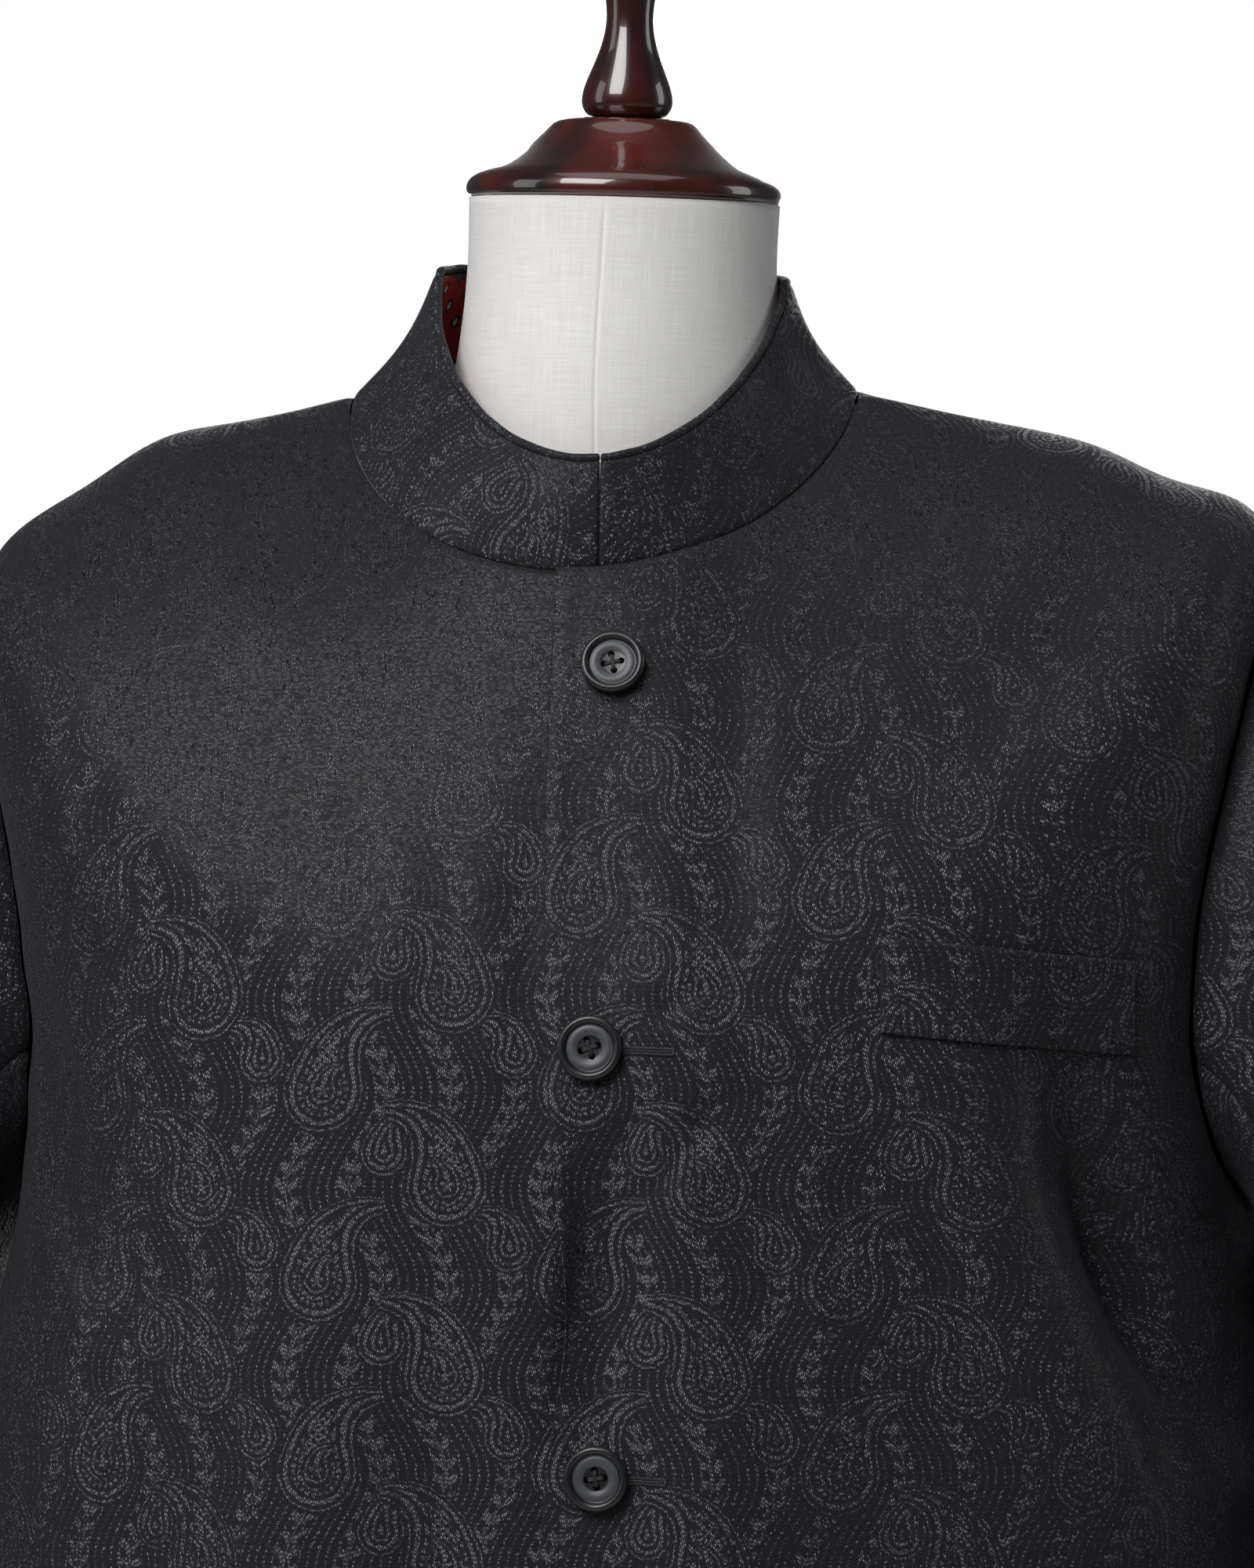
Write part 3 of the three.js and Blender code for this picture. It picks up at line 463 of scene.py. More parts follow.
def shell(name, outer, inner, materials, uv):
    rows, columns = outer.shape[:2]
    faces, outer_count = shell_faces(rows, columns)
    points = np.concatenate([outer.reshape(-1, 3), inner.reshape(-1, 3)])
    if enclosed_volume(points, faces) < 0:
        faces = faces[:, ::-1]
    doubled = np.concatenate([uv.reshape(-1, 2)] * 2)
    kinds = (np.arange(len(faces)) >= outer_count).astype(int) if len(materials) > 1 else None
    piece = mesh_object(name, points, faces, materials, doubled, kinds)
    print(name, rows, "x", columns, "cells,", 2 * len(faces), "triangles")
    return piece


def seam_dip(distance):
    """How deep the thread draws the cloth in: a sharp groove in a wide hollow."""
    return -0.75 * np.exp(-((distance / 1.3) ** 2)) - 0.3 * np.exp(-((distance / 6) ** 2))


EDGE_ROUND = 0.7


def edge_drop(distance):
    """How far a rounded edge falls away at a distance from its end."""
    inside = np.clip(EDGE_ROUND - distance, 0, EDGE_ROUND)
    return EDGE_ROUND - np.sqrt(EDGE_ROUND**2 - inside**2)


# %% [markdown]
# ## Shader parts
# Some effects are used more than once, so each is a node group that is built once: the paisley's
# drop, the jacquard woven from it, and a plain weave of crossing threads. A group puts out masks,
# heights and directions only, and the shader stays in the material.


# %% Small helpers for node trees
def feed(tree, socket, value):
    """Links a socket to another one, or sets it to a plain value."""
    if isinstance(value, bpy.types.NodeSocket):
        tree.links.new(value, socket)
    else:
        socket.default_value = value


def new_node(tree, kind, inputs=None, **settings):
    made = tree.nodes.new(kind)
    for key, value in settings.items():
        setattr(made, key, value)
    for key, value in (inputs or {}).items():
        feed(tree, made.inputs[key], value)
    return made


def calc(tree, operation, *values):
    return new_node(tree, "ShaderNodeMath", dict(enumerate(values)), operation=operation).outputs[0]


def wave_of(tree, value, rate, kind="SINE"):
    return calc(tree, kind, calc(tree, "MULTIPLY", value, rate))


def ranged(tree, value, low, high, to_low=0.0, to_high=1.0, kind="LINEAR"):
    return new_node(tree, "ShaderNodeMapRange", {
        "Value": value, "From Min": low, "From Max": high, "To Min": to_low, "To Max": to_high,
    }, interpolation_type=kind).outputs[0]


def below(tree, value, limit, soft):
    """1 where value is less than limit, with a soft shoulder."""
    return ranged(tree, value, limit + soft, limit - soft, kind="SMOOTHSTEP")


def band(tree, value, low, high, soft):
    """1 where value lies between low and high, with soft shoulders."""
    rise = ranged(tree, value, low - soft, low + soft, kind="SMOOTHSTEP")
    return calc(tree, "MULTIPLY", rise, below(tree, value, high, soft))


def noise(tree, place, scale, detail, roughness=0.5, dimensions="3D"):
    return new_node(tree, "ShaderNodeTexNoise", {
        "Vector": place, "Scale": scale, "Detail": detail, "Roughness": roughness,
    }, noise_dimensions=dimensions)


def blend_colour(tree, factor, first, second):
    """Two colours by a factor. The numbers are those of the colour sockets of a mix node."""
    first, second = (c + (1,) if isinstance(c, tuple) else c for c in (first, second))
    return new_node(tree, "ShaderNodeMix", {0: factor, 6: first, 7: second}, data_type="RGBA").outputs[2]


FLOAT = "NodeSocketFloat"
VECTOR = "NodeSocketVector"


def new_group(name, inputs, outputs, vectors=()):
    group = bpy.data.node_groups.new(name, "ShaderNodeTree")
    for socket, kind, value in inputs:
        made = group.interface.new_socket(socket, in_out="INPUT", socket_type=kind)
        if value is not None:
            made.default_value = value
    for socket in outputs:
        group.interface.new_socket(socket, in_out="OUTPUT", socket_type=FLOAT)
    for socket in vectors:
        group.interface.new_socket(socket, in_out="OUTPUT", socket_type=VECTOR)
    return group, group.nodes.new("NodeGroupInput").outputs, group.nodes.new("NodeGroupOutput").inputs


# %% [markdown]
# ## The paisley
# The paisley, or boteh, is a drop with a bent tip. Round its bulb it is a circle, and above it two
# lines that touch the circle meet at the tip. The same rule with a turn that grows with distance
# bends the tip. What it gives is a gauge: 1 on the outline, less inside, more outside, so that the
# woven bands inside and around the drop are simply bands of the gauge.

# %% The drop as a node group
boteh, given, out = new_group(
    "boteh drop",
    [("X", FLOAT, 0), ("Y", FLOAT, 0), ("Bulb", FLOAT, 12), ("Reach", FLOAT, 40), ("Curl", FLOAT, 0.8)],
    ["Gauge", "Angle"],
)
radius = calc(boteh, "SQRT", calc(boteh, "ADD", calc(boteh, "MULTIPLY", given["X"], given["X"]),
              calc(boteh, "MULTIPLY", given["Y"], given["Y"])))
share = calc(boteh, "DIVIDE", radius, given["Reach"])
bend = calc(boteh, "MULTIPLY", given["Curl"], calc(boteh, "MULTIPLY", share, share))
angle = calc(boteh, "SUBTRACT", calc(boteh, "ARCTAN2", given["X"], given["Y"]), bend)
angle = calc(boteh, "WRAP", angle, math.pi, -math.pi)
half_angle = calc(boteh, "ARCCOSINE", calc(boteh, "DIVIDE", given["Bulb"], given["Reach"]))
lean = calc(boteh, "MAXIMUM", calc(boteh, "SUBTRACT", half_angle, calc(boteh, "ABSOLUTE", angle)), 0)
gauge = calc(boteh, "DIVIDE", calc(boteh, "MULTIPLY", radius, calc(boteh, "COSINE", lean)), given["Bulb"])
for socket, value in (("Gauge", gauge), ("Angle", angle)):
    boteh.links.new(value, out[socket])
print("drop group:", len(boteh.nodes), "nodes")

# %% [markdown]
# ## The jacquard
# The cloth is woven in one colour, and how its threads lie shows the pattern. Level weft floats
# cover the ground, so it shines faintly where the light glances off it. In the figure the warp
# comes up in points, some bright and some dull, that face a little upwards, so the figure looks
# lighter elsewhere. Which of the two wins is left to the light, as on the real cloth. Drops stand
# in columns, every second column half a repeat lower and mirrored, with small drops and leaf
# sprigs between them.


# %% The jacquard as a node group
def repeat_of(tree, value, pitch, shift):
    """The number of a repeat and the place in it, from minus half to plus half a pitch."""
    scaled = calc(tree, "DIVIDE", calc(tree, "ADD", value, shift), pitch)
    number = calc(tree, "ROUND", scaled)
    return number, calc(tree, "MULTIPLY", calc(tree, "SUBTRACT", scaled, number), pitch)


def drop_at(tree, x, y, bulb, reach, curl):
    made = new_node(tree, "ShaderNodeGroup", {
        "X": x, "Y": y, "Bulb": bulb, "Reach": reach, "Curl": curl,
    }, node_tree=boteh)
    return made.outputs["Gauge"], made.outputs["Angle"]


def staggered(tree, u, v, pitch_u, pitch_v, shift_u, shift_v):
    """Place in a staggered repeat, with X mirrored in every second column."""
    column, x = repeat_of(tree, u, pitch_u, shift_u)
    odd = calc(tree, "ABSOLUTE", calc(tree, "MODULO", column, 2.0))
    lowered = calc(tree, "MULTIPLY_ADD", odd, pitch_v / 2, v)
    _, y = repeat_of(tree, lowered, pitch_v, shift_v)
    mirror = calc(tree, "MULTIPLY_ADD", odd, -2.0, 1.0)
    return calc(tree, "MULTIPLY", x, mirror), y


jacquard, given, out = new_group(
    "paisley jacquard",
    [("Place", VECTOR, None), ("Turn", FLOAT, 0)],
    ["Figure", "Relief", "Slub", "Speck", "Floats"],
    ["Lean"],
)
rotated = new_node(jacquard, "ShaderNodeVectorRotate", {
    "Vector": given["Place"], "Angle": given["Turn"],
}, rotation_type="Z_AXIS")
wobble = noise(jacquard, rotated.outputs[0], 0.55, 1.0, 0.6, "2D")
wobbled = new_node(jacquard, "ShaderNodeVectorMath", {
    0: wobble.outputs["Color"], 1: (0.5, 0.5, 0.5),
}, operation="SUBTRACT")
wobbled = new_node(jacquard, "ShaderNodeVectorMath", {
    0: wobbled.outputs[0], 1: (1.5, 1.5, 0), 2: rotated.outputs[0],
}, operation="MULTIPLY_ADD")
threads = new_node(jacquard, "ShaderNodeSeparateXYZ", {0: rotated.outputs[0]})
split = new_node(jacquard, "ShaderNodeSeparateXYZ", {0: wobbled.outputs[0]})
u, v = split.outputs["X"], split.outputs["Y"]

PITCH_U, PITCH_V = 46.0, 68.0


def several(tree, operation, *values):
    total = values[0]
    for value in values[1:]:
        total = calc(tree, operation, total, value)
    return total


def without(tree, value, hole):
    return calc(tree, "MULTIPLY", value, calc(tree, "SUBTRACT", 1.0, hole))


# The big drop: bands of figure with ribbons of ground between them, and a flower
x, y = staggered(jacquard, u, v, PITCH_U, PITCH_V, 0.0, 16.0)
big, around = drop_at(jacquard, x, y, 12.0, 43.0, 1.0)
beads = calc(jacquard, "GREATER_THAN", wave_of(jacquard, around, 22.0), -0.35)
scales = calc(jacquard, "MULTIPLY", wave_of(jacquard, y, 1.9), wave_of(jacquard, x, 1.9))
scales = calc(jacquard, "GREATER_THAN", scales, -0.25)
heart, heart_around = drop_at(jacquard, x, y, 4.4, 15.0, 1.2)
petals = calc(jacquard, "MULTIPLY_ADD", wave_of(jacquard, heart_around, 5.0, "COSINE"), -0.25, heart)
flower = below(jacquard, petals, 0.42, 0.06)
in_heart = calc(jacquard, "MAXIMUM", band(jacquard, heart, 0.82, 1.02, 0.05), flower)
in_body = calc(jacquard, "MULTIPLY", scales, below(jacquard, big, 0.58, 0.02))
in_body = without(jacquard, in_body, below(jacquard, heart, 1.3, 0.05))
big_figure = several(
    jacquard, "MAXIMUM",
    band(jacquard, big, 0.88, 1.02, 0.02),
    calc(jacquard, "MULTIPLY", band(jacquard, big, 0.64, 0.76, 0.02), beads),
    in_body,
    calc(jacquard, "MULTIPLY", in_heart, below(jacquard, big, 0.6, 0.02)),
    band(jacquard, big, 1.14, 1.20, 0.015),
)
near_big = below(jacquard, big, 1.30, 0.02)

# A smaller drop in each gap between two big ones, bent the other way
mx, my = staggered(jacquard, u, v, PITCH_U, PITCH_V, 23.0, 4.0)
mid_x = calc(jacquard, "MULTIPLY", mx, -1.0)
mid, _ = drop_at(jacquard, mid_x, my, 6.2, 23.0, 1.3)
mid_figure = several(
    jacquard, "MAXIMUM",
    band(jacquard, mid, 0.80, 1.02, 0.03),
    band(jacquard, mid, 0.40, 0.58, 0.04),
    below(jacquard, mid, 0.16, 0.04),
    band(jacquard, mid, 1.22, 1.34, 0.03),
)
near_mid = below(jacquard, mid, 1.5, 0.03)

# Leaf sprigs on wavy stems fill the rest, over columns of weft floats with dashed partings
stem_u = calc(jacquard, "MULTIPLY_ADD", wave_of(jacquard, v, 2 * math.pi / PITCH_V), 6.5, u)
_, stem_x = repeat_of(jacquard, stem_u, PITCH_U / 2, 5.75)
from_stem = calc(jacquard, "ABSOLUTE", stem_x)
leaf_phase = calc(jacquard, "MULTIPLY_ADD", from_stem, -0.75, calc(jacquard, "MULTIPLY", v, 0.95))
leaves = calc(jacquard, "MULTIPLY", calc(jacquard, "GREATER_THAN", calc(jacquard, "SINE", leaf_phase), 0.1),
              band(jacquard, from_stem, 0.8, 4.2, 0.3))
sprigs = calc(jacquard, "MAXIMUM", below(jacquard, from_stem, 0.4, 0.2), leaves)
_, float_x = repeat_of(jacquard, stem_u, 3.3, 0.0)
parting = below(jacquard, calc(jacquard, "ABSOLUTE", float_x), 0.42, 0.15)
dashes = calc(jacquard, "GREATER_THAN", wave_of(jacquard, v, 3.6), -0.45)
parting = calc(jacquard, "MULTIPLY", parting, dashes)
between = calc(jacquard, "MAXIMUM", sprigs, parting)
between = calc(jacquard, "MAXIMUM", without(jacquard, between, near_mid), mid_figure)
figure = calc(jacquard, "MAXIMUM", without(jacquard, between, near_big), big_figure)

# Threads: short warp points, each a little lighter or darker, over short level weft floats
def broken_threads(tree, across, along, width, length, slope):
    """Thread ends in staggered rows, each a bulge with its own strength from 0 to 1."""
    across = calc(tree, "DIVIDE", calc(tree, "MULTIPLY_ADD", along, slope, across), width)
    row = calc(tree, "FLOOR", across)
    shift = new_node(tree, "ShaderNodeTexWhiteNoise", {"W": row}, noise_dimensions="1D").outputs["Value"]
    along = calc(tree, "ADD", calc(tree, "DIVIDE", along, length), shift)
    cell = new_node(tree, "ShaderNodeCombineXYZ", {0: row, 1: calc(tree, "FLOOR", along)})
    strength = new_node(tree, "ShaderNodeTexWhiteNoise", {"Vector": cell.outputs[0]}, noise_dimensions="2D")
    bulges = [wave_of(tree, calc(tree, "FRACT", value), math.pi) for value in (across, along)]
    return several(tree, "MULTIPLY", strength.outputs["Value"], *bulges)


speck = broken_threads(jacquard, threads.outputs["X"], threads.outputs["Y"], 0.72, 1.6, 0.2)
floats = broken_threads(jacquard, threads.outputs["Y"], threads.outputs["X"], 0.85, 3.2, 0.0)
relief = calc(jacquard, "MULTIPLY_ADD", speck, figure, without(jacquard, floats, figure))
slub = noise(jacquard, rotated.outputs[0], 0.9, 3.0, 0.7, "2D")

# The figure's warp floats rise towards their upper ends, so its threads face a little upwards
FIGURE_LEAN = 0.36
lean_up = calc(jacquard, "MULTIPLY", figure, FIGURE_LEAN)
lean = new_node(jacquard, "ShaderNodeCombineXYZ", {1: lean_up, 2: 1.0})
lean = new_node(jacquard, "ShaderNodeVectorRotate", {
    "Vector": lean.outputs[0], "Angle": calc(jacquard, "MULTIPLY", given["Turn"], -1.0),
}, rotation_type="Z_AXIS")
lean = new_node(jacquard, "ShaderNodeVectorMath", {
    0: lean.outputs[0], 1: (0.5, 0.5, 0.5), 2: (0.5, 0.5, 0.5),
}, operation="MULTIPLY_ADD")
for socket, value in (("Lean", lean.outputs[0]), ("Speck", speck), ("Floats", floats), ("Figure", figure),
                      ("Relief", relief), ("Slub", slub.outputs["Fac"])):
    jacquard.links.new(value, out[socket])
print("jacquard group:", len(jacquard.nodes), "nodes")

# %% [markdown]
# ## Materials
# The jacket's cloth, the printed lining inside the collar, a plain lining inside the body, thread,
# linen, polished wood, button horn and painted steel. Each sets its own shader.


# %% Cloth materials
def new_material(name):
    material = bpy.data.materials.new(name)
    material.use_nodes = True
    tree = material.node_tree
    return material, tree, tree.nodes["Principled BSDF"]


def mapped(tree, place, scale, shift=(0, 0, 0)):
    return new_node(tree, "ShaderNodeMapping", {
        "Vector": place, "Scale": scale, "Location": shift,
    }).outputs[0]


def cloth_place(tree, shift=(0.0, 0.0)):
    uv = new_node(tree, "ShaderNodeUVMap", uv_map="cloth_map")
    return mapped(tree, uv.outputs[0], (1 / UV_UNIT, 1 / UV_UNIT, 1), (*shift, 0))


def own_place(tree):
    return new_node(tree, "ShaderNodeTexCoord").outputs["Object"]


def jacquard_material(name, shift, turn=0.0, contrast=1.0):
    material, tree, surface = new_material(name)
    woven = new_node(tree, "ShaderNodeGroup", {
        "Place": cloth_place(tree, shift), "Turn": turn,
    }, node_tree=jacquard)
    figure, slub, speck, floats = (woven.outputs[name] for name in ("Figure", "Slub", "Speck", "Floats"))
    ground = blend_colour(tree, slub, (0.0075, 0.0075, 0.0100), (0.0125, 0.0125, 0.0160))
    thread = blend_colour(tree, speck, (0.0130, 0.0130, 0.0160), (0.2300, 0.2350, 0.2720))
    tree.links.new(blend_colour(tree, figure, ground, thread), surface.inputs["Base Color"])
    shine = ranged(tree, floats, 0.0, 0.6, 0.03, 0.27)
    tree.links.new(without(tree, shine, figure), surface.inputs["Coat Weight"])
    tree.links.new(calc(tree, "MULTIPLY", figure, 0.75), surface.inputs["Metallic"])
    smoother = ranged(tree, speck, 0.0, 0.4, -0.24, -0.44)
    tree.links.new(calc(tree, "MULTIPLY_ADD", figure, smoother, 0.85), surface.inputs["Roughness"])
    leaning = new_node(tree, "ShaderNodeNormalMap", {"Color": woven.outputs["Lean"]}, uv_map="cloth_map")
    bump = new_node(tree, "ShaderNodeBump", {
        "Height": woven.outputs["Relief"], "Normal": leaning.outputs[0],
        "Strength": 0.6 * contrast, "Distance": 0.0004,
    })
    tree.links.new(bump.outputs[0], surface.inputs["Normal"])
    surface.inputs["Coat Roughness"].default_value = 0.28
    surface.inputs["Specular IOR Level"].default_value = 0.34
    surface.inputs["Sheen Weight"].default_value = 0.04
    surface.inputs["Sheen Roughness"].default_value = 0.45
    surface.inputs["Sheen Tint"].default_value = (0.85, 0.88, 1.0, 1)
    return material


body_cloth = jacquard_material("body_jacquard", (0.0, 0.0))
collar_cloth = jacquard_material("collar_jacquard", (9.0, 20.0), turn=0.62)
piping_cloth = jacquard_material("piping_jacquard", (0.0, 0.0), turn=0.78, contrast=0.8)

plain_lining, tree, surface = new_material("body_lining")
weave = noise(tree, cloth_place(tree), 0.5, 3.0, dimensions="2D").outputs["Fac"]
tree.links.new(blend_colour(tree, weave, (0.008, 0.008, 0.010), (0.014, 0.014, 0.017)),
               surface.inputs["Base Color"])
surface.inputs["Roughness"].default_value = 0.42
print("cloth materials made")

# %% [markdown]
# The lining inside the collar is printed: red, with small dark flowers that have a pale centre, and
# a dark edge. Only a sliver of it shows, so the print is a plain flower repeat of this model's own.
# The linen of the form and the turned wood are procedural too, and the wood has a varnish coat.

# %% Lining print, linen, wood, horn and steel
print_lining, tree, surface = new_material("collar_print")
place = cloth_place(tree)
split = new_node(tree, "ShaderNodeSeparateXYZ", {0: place})
fx, fy = staggered(tree, split.outputs["X"], split.outputs["Y"], 11.0, 12.0, 0.0, 0.0)
flower, turn_round = drop_at(tree, fx, fy, 2.6, 4.6, 0.6)
petal = calc(tree, "MULTIPLY_ADD", wave_of(tree, turn_round, 5.0, "COSINE"), 0.3, flower)
petal = below(tree, petal, 1.0, 0.08)
centre = below(tree, flower, 0.45, 0.08)
edge_stripe = band(tree, split.outputs["Y"], 35.0, 60.0, 0.3)
colour = blend_colour(tree, petal, (0.33, 0.022, 0.016), (0.012, 0.013, 0.03))
colour = blend_colour(tree, centre, colour, (0.62, 0.57, 0.5))
colour = blend_colour(tree, edge_stripe, colour, (0.015, 0.013, 0.02))
tree.links.new(colour, surface.inputs["Base Color"])
surface.inputs["Roughness"].default_value = 0.55

weave_group, given, out = new_group(
    "plain weave", [("Place", VECTOR, None), ("Threads per mm", FLOAT, 1.4)], ["Height", "Slub"],
)
split = new_node(weave_group, "ShaderNodeSeparateXYZ", {0: given["Place"]})
drift = noise(weave_group, given["Place"], 0.35, 2.0)
waves = []
for axis in "XY":
    moved = calc(weave_group, "MULTIPLY_ADD", drift.outputs["Fac"], 1.4, split.outputs[axis])
    counted = calc(weave_group, "MULTIPLY", moved, given["Threads per mm"])
    waves.append(wave_of(weave_group, counted, 2 * math.pi))
height = calc(weave_group, "MULTIPLY_ADD", calc(weave_group, "MULTIPLY", waves[0], waves[1]), 0.5, 0.5)
streaks = []
for stretch in ((0.05, 1.6, 1.0), (1.6, 0.05, 1.0)):
    pulled_out = new_node(weave_group, "ShaderNodeVectorMath", {
        0: given["Place"], 1: stretch,
    }, operation="MULTIPLY")
    streaks.append(noise(weave_group, pulled_out.outputs[0], 1.0, 2.0).outputs["Fac"])
weave_group.links.new(height, out["Height"])
weave_group.links.new(calc(weave_group, "MULTIPLY", calc(weave_group, "ADD", *streaks), 0.5), out["Slub"])

linen, tree, surface = new_material("form_linen")
woven = new_node(tree, "ShaderNodeGroup", {"Place": cloth_place(tree)}, node_tree=weave_group)
linen_colour = blend_colour(tree, ranged(tree, woven.outputs["Slub"], 0.35, 0.65),
                            (0.74, 0.72, 0.70), (0.88, 0.862, 0.84))
linen_colour = blend_colour(tree, calc(tree, "MULTIPLY", woven.outputs["Height"], 0.35), linen_colour,
                            (0.93, 0.915, 0.89))
tree.links.new(linen_colour, surface.inputs["Base Color"])
surface.inputs["Roughness"].default_value = 0.85
surface.inputs["Sheen Weight"].default_value = 0.1
bump = new_node(tree, "ShaderNodeBump", {
    "Height": woven.outputs["Height"], "Strength": 0.5, "Distance": 0.0002,
})
tree.links.new(bump.outputs[0], surface.inputs["Normal"])

wood, tree, surface = new_material("mahogany")
grain = noise(tree, mapped(tree, own_place(tree), (34, 34, 8)), 1.0, 3.0)
grain.inputs["Distortion"].default_value = 0.4
grain_share = ranged(tree, grain.outputs["Fac"], 0.3, 0.7)
pore = noise(tree, mapped(tree, own_place(tree), (900, 900, 45)), 1.0, 2.0)
pore_share = calc(tree, "MULTIPLY", below(tree, pore.outputs["Fac"], 0.36, 0.05), 0.6)
wood_colour = blend_colour(tree, grain_share, (0.010, 0.0014, 0.0012), (0.105, 0.009, 0.005))
wood_colour = blend_colour(tree, pore_share, wood_colour, (0.012, 0.002, 0.002))
tree.links.new(wood_colour, surface.inputs["Base Color"])
surface.inputs["Roughness"].default_value = 0.28
surface.inputs["Coat Weight"].default_value = 1.0
surface.inputs["Coat Roughness"].default_value = 0.04
surface.inputs["Coat IOR"].default_value = 1.6


def clouded_material(name, scale, detail, colours, rough, specular=0.5):
    """One colour that varies a little. scale is the size of its noise, or one size for each axis."""
    material, tree, surface = new_material(name)
    place = own_place(tree)
    if isinstance(scale, tuple):
        place, scale = mapped(tree, place, scale), 1.0
    clouds = noise(tree, place, scale, detail).outputs["Fac"]
    tree.links.new(blend_colour(tree, clouds, *colours), surface.inputs["Base Color"])
    rough = ranged(tree, clouds, 0.0, 1.0, *rough) if isinstance(rough, tuple) else rough
    feed(tree, surface.inputs["Roughness"], rough)
    surface.inputs["Specular IOR Level"].default_value = specular
    return material


horn = clouded_material("button_horn", 900.0, 2.0, ((0.009, 0.0095, 0.011), (0.017, 0.018, 0.020)),
                        (0.24, 0.36), 0.6)
horn_dish = clouded_material("button_dish", (300, 300, 2600), 3.0,
                             ((0.040, 0.043, 0.049), (0.085, 0.090, 0.100)), 0.42, 0.6)
thread_black = clouded_material("black_thread", 4000.0, 1.0,
                                ((0.006, 0.006, 0.008), (0.024, 0.024, 0.028)), 0.55)
thread_silk = clouded_material("silk_thread", 3000.0, 1.0,
                               ((0.020, 0.020, 0.024), (0.070, 0.071, 0.080)), 0.42)
steel = clouded_material("painted_steel", 250.0, 3.0,
                         ((0.030, 0.030, 0.032), (0.040, 0.040, 0.043)), (0.28, 0.44))
print("materials:", len(bpy.data.materials))

# %% [markdown]
# ## Fronts and backs
# The jacket's body is cut in four: two fronts that lap at the middle and two backs with a seam
# between them. Rows run down the cloth and columns from the middle edge to the shoulder seam,
# armhole and side seam. Columns lie closer at the edges, where the cloth rounds or dips.

# %% Rows, columns and the armhole
SEAM_TURN = math.radians(7)
SHOULDER_TIP_AT, ARMPIT_AT = 160.0, 310.0
ARMHOLE_FORWARD = {"left": math.radians(27.5), "right": math.radians(21)}
ARMHOLE_BACKWARD = math.radians(24)
ARMHOLE_SKEW, COLUMN_GIVING, SEAM_GAP = 1.4, 2.6, 0.06
HEM_BULK, FACING_BULK, ARMHOLE_PUCKER = 0.35, 0.45, 0.35
EDGE_STEPS, EDGE_BAND = [0, 0.2, 0.5, 0.9, 1.5, 2.4, 3.8], 6.5


def armhole_open(at, is_front):
    share = np.clip((at - SHOULDER_TIP_AT) / (ARMPIT_AT - SHOULDER_TIP_AT), 0, 1)
    share = share ** (ARMHOLE_SKEW if is_front else 1)
    return np.sqrt(np.maximum(1 - (2 * share - 1) ** 2, 0))


def outer_turn(at, is_front, side, open_share=None):
    opened = armhole_open(at, is_front) if open_share is None else open_share
    reach = -ARMHOLE_FORWARD[side] if is_front else ARMHOLE_BACKWARD
    turn = SEAM_TURN + reach * opened
    if side == "left":
        return turn
    return -math.pi - turn if is_front else math.pi - turn


yoke_rows = np.concatenate([np.array(EDGE_STEPS) + 0.1, np.linspace(7.5, 156.5, 38)])
armhole_share = (1 - np.cos(np.linspace(0, math.pi, 47))) / 2
armhole_rows = SHOULDER_TIP_AT + (ARMPIT_AT - SHOULDER_TIP_AT) * armhole_share
skirt_rows = np.concatenate([np.linspace(314, 733, 106), HEM_AT - np.array(EDGE_STEPS[::-1])])
body_rows = np.concatenate([yoke_rows, armhole_rows, skirt_rows])


def row_turns(at, middle_turn, full_turn, cut_turn, columns):
    """Turns of the grid, and each point's distance on the cloth from the middle and outer edge."""
    fine = 400
    share = np.linspace(0, 1, fine + 1)
    turns = middle_turn[:, None] + (full_turn - middle_turn)[:, None] * share
    steps = np.linalg.norm(np.diff(ring_point(body_rings, at[:, None], turns), axis=1), axis=-1)
    lengths = np.concatenate([np.zeros((len(at), 1)), np.cumsum(steps, axis=1)], axis=1)
    cut_share = (cut_turn - middle_turn) / (full_turn - middle_turn)
    edge = np.array(EDGE_STEPS)
    inner_share = np.linspace(0, 1, columns)
    grid, from_middle, from_outer = [], [], []
    for i in range(len(at)):
        full = lengths[i, -1]
        cut = np.interp(cut_share[i], share, lengths[i]) - SEAM_GAP / 2
        even = EDGE_BAND + (full - 2 * EDGE_BAND) * inner_share
        given_way = even - (full - cut) * inner_share**COLUMN_GIVING
        wanted = np.concatenate([edge, given_way, cut - edge[::-1]])
        grid.append(np.interp(wanted, lengths[i], turns[i]))
        from_middle.append(wanted)
        from_outer.append(cut - wanted)
    return np.array(grid), np.array(from_middle), np.array(from_outer)


print("body rows:", len(body_rows))

# %% Fronts and backs as cloth
cloth_pieces = {}
panel_maps = {}


